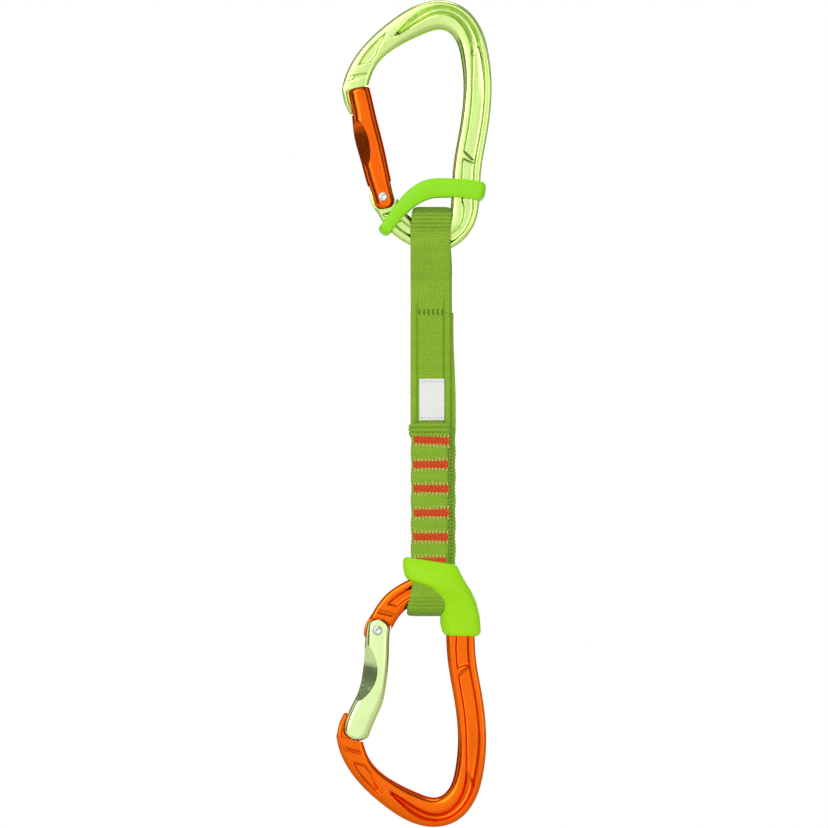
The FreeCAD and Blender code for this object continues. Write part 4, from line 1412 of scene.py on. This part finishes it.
class QUICKDRAW_OT_bar_tacks(bpy.types.Operator):
    """Six zigzag bar tacks, front and back"""
    bl_idname = "quickdraw.bar_tacks"
    bl_label = "Bar Tacks"

    def execute(self, context):
        sizes = context.scene.quickdraw_sling
        dyes = context.scene.quickdraw_colours
        orange = twisted_thread("orange_filament_thread", dyes.tack)
        tan = twisted_thread("tan_filament_thread", dyes.tack_ends)
        front = LAP_LOW.y + 0.10
        back = BACK_HIGH.y - 0.1
        for number, (low, high) in enumerate(TACKS, 1):
            last = number == len(TACKS)
            lean = -0.05 if number == 1 else 0.012 * (-1) ** number
            shift = Vector((0.75 + 0.2 * math.sin(number * 2.1), 0, 0))
            faces = [(front, -1, shift)] + ([] if last else [(back, 1, shift + Vector((1, 0, 0)))])
            blocks, ends = [], []
            for face, outward, off in faces:
                run, teeth = tack_runs(low + off, high + off, face, outward, sizes,
                                       -outward * lean, number * 1.7)
                blocks.append(run)
                ends += teeth
            tack = thread_object("bar_tack_thread_%d" % number, blocks, sizes.thread, orange)
            fringe = thread_object("bar_tack_ends_%d" % number, ends, TACK_END_THREAD, tan)
            body = "lower_carabiner" if last else "sewn_sling"
            for piece in (tack, fringe):
                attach(piece, body)
            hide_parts("bar_tack_%d" % number)
        return {"FINISHED"}


class QUICKDRAW_OT_label(bpy.types.Operator):
    """Blank woven label with its stitching, and the marker row of stitches"""
    bl_idname = "quickdraw.label"
    bl_label = "Label and Marker Stitches"

    def execute(self, context):
        dyes = context.scene.quickdraw_colours
        ribbon = woven_ribbon("white_woven_ribbon", dyes.label)
        low, high = LABEL_LOW, LABEL_HIGH
        bm = bmesh.new()
        bmesh.ops.create_grid(bm, x_segments=20, y_segments=32, size=0.5)
        for vert in bm.verts:
            u, v = vert.co.x, vert.co.y
            bulge = 0.22 * math.cos(u * math.pi) * (0.6 + 0.4 * math.cos(v * math.tau))
            fold = 0.12 * (ease(abs(v), 0.40, 0.43) + 0.6 * ease(abs(u), 0.44, 0.47))
            vert.co = Vector(((low.x + high.x) / 2 + 0.6 + u * (high.x - low.x),
                              high.y - 0.12 - bulge - fold,
                              (low.z + high.z) / 2 + v * (high.z - low.z))) * MM
        bmesh.ops.recalc_face_normals(bm, faces=bm.faces)
        label = to_object(bm, "woven_label", ribbon)
        thick = label.modifiers.new("Thickness", "SOLIDIFY")
        thick.thickness = LABEL_THICKNESS * MM
        thick.offset = 0.0
        settle(label, sharp=40)
        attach(label, "sewn_sling")
        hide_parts("sewn_label")

        white = twisted_thread("white_filament_thread", linear(0xDAD9D2))
        runs = []
        for z in (high.z - LABEL_HEM, low.z + LABEL_HEM):
            for step in range(LABEL_STITCHES):
                x = low.x + 1.0 + step * LABEL_PITCH
                runs.append(self.stitch((x, z), (x + LABEL_STITCH, z), low.y - 0.02))
        stitches = thread_object("label_stitches", runs, LABEL_THREAD, white)
        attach(stitches, "sewn_sling")
        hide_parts("label_stitching")

        dark = twisted_thread("dark_green_thread", dyes.marker)
        marker_low, marker_high = node_box("marker_stitches")
        runs = []
        for step in range(MARKER_STITCHES):
            x = marker_low.x + 0.7 + step * MARKER_PITCH
            runs.append(self.stitch((x, marker_low.z), (x, marker_high.z), MARKER_DEPTH))
        marker = thread_object("marker_row", runs, MARKER_THREAD, dark)
        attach(marker, "twisting_stretch")
        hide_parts("marker_stitches")
        return {"FINISHED"}

    def stitch(self, start, end, y):
        """One stitch that dives into the cloth at both ends."""
        way = Vector((end[0] - start[0], 0, end[1] - start[1])) * 0.15
        a, b = Vector((start[0], y, start[1])), Vector((end[0], y, end[1]))
        down = Vector((0, 0.35, 0))
        return [tuple(a + down), tuple(a + way * 0.3), tuple(a + way), tuple(b - way),
                tuple(b - way * 0.3), tuple(b + down)]


class QUICKDRAW_OT_keepers(bpy.types.Operator):
    """The elastic keeper band and the rubber keeper boot"""
    bl_idname = "quickdraw.keepers"
    bl_label = "Keepers"

    def execute(self, context):
        dyes = context.scene.quickdraw_colours
        glossy = moulded_rubber("glossy_moulded_elastomer", dyes.band, 0.30, 0.0)
        satin = moulded_rubber("satin_moulded_rubber", dyes.boot, 0.42, 0.03)
        bm, _ = skin(band_rings(), closed=True)
        band = to_object(bm, "elastic_keeper_band", glossy)
        subdivide(band)
        settle(band)
        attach(band, "upper_carabiner")
        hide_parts("upper_keeper_band")
        bm, _ = skin(boot_rings())
        boot = to_object(bm, "rubber_keeper_boot", satin)
        subdivide(boot)
        settle(boot)
        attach(boot, "lower_carabiner")
        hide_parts("lower_keeper_boot")
        return {"FINISHED"}


class QUICKDRAW_PT_panel(bpy.types.Panel):
    """Lists the quickdraw's pieces"""
    bl_label = "Quickdraw"
    bl_idname = "QUICKDRAW_PT_panel"
    bl_space_type = "VIEW_3D"
    bl_region_type = "UI"
    bl_category = "Quickdraw"

    def draw(self, context):
        for step in STEPS:
            self.layout.operator(step.bl_idname)
        for group in GROUPS:
            settings = getattr(context.scene, group)
            for name in settings.bl_rna.properties.keys():
                if name not in ("name", "rna_type"):
                    self.layout.prop(settings, name)


STEPS = (
    QUICKDRAW_OT_stage,
    QUICKDRAW_OT_frames,
    QUICKDRAW_OT_gates,
    QUICKDRAW_OT_rivets,
    QUICKDRAW_OT_webbing,
    QUICKDRAW_OT_bar_tacks,
    QUICKDRAW_OT_label,
    QUICKDRAW_OT_keepers,
)


def register():
    for kind in (*GROUPS.values(), *STEPS, QUICKDRAW_PT_panel):
        bpy.utils.register_class(kind)
    for name, kind in GROUPS.items():
        setattr(bpy.types.Scene, name, bpy.props.PointerProperty(type=kind))


def unregister():
    for name in GROUPS:
        delattr(bpy.types.Scene, name)
    for kind in (QUICKDRAW_PT_panel, *reversed(STEPS), *GROUPS.values()):
        bpy.utils.unregister_class(kind)


def main():
    register()
    for step in STEPS:
        family, name = step.bl_idname.split(".")
        getattr(getattr(bpy.ops, family), name)()


if __name__ == "__main__":
    main()
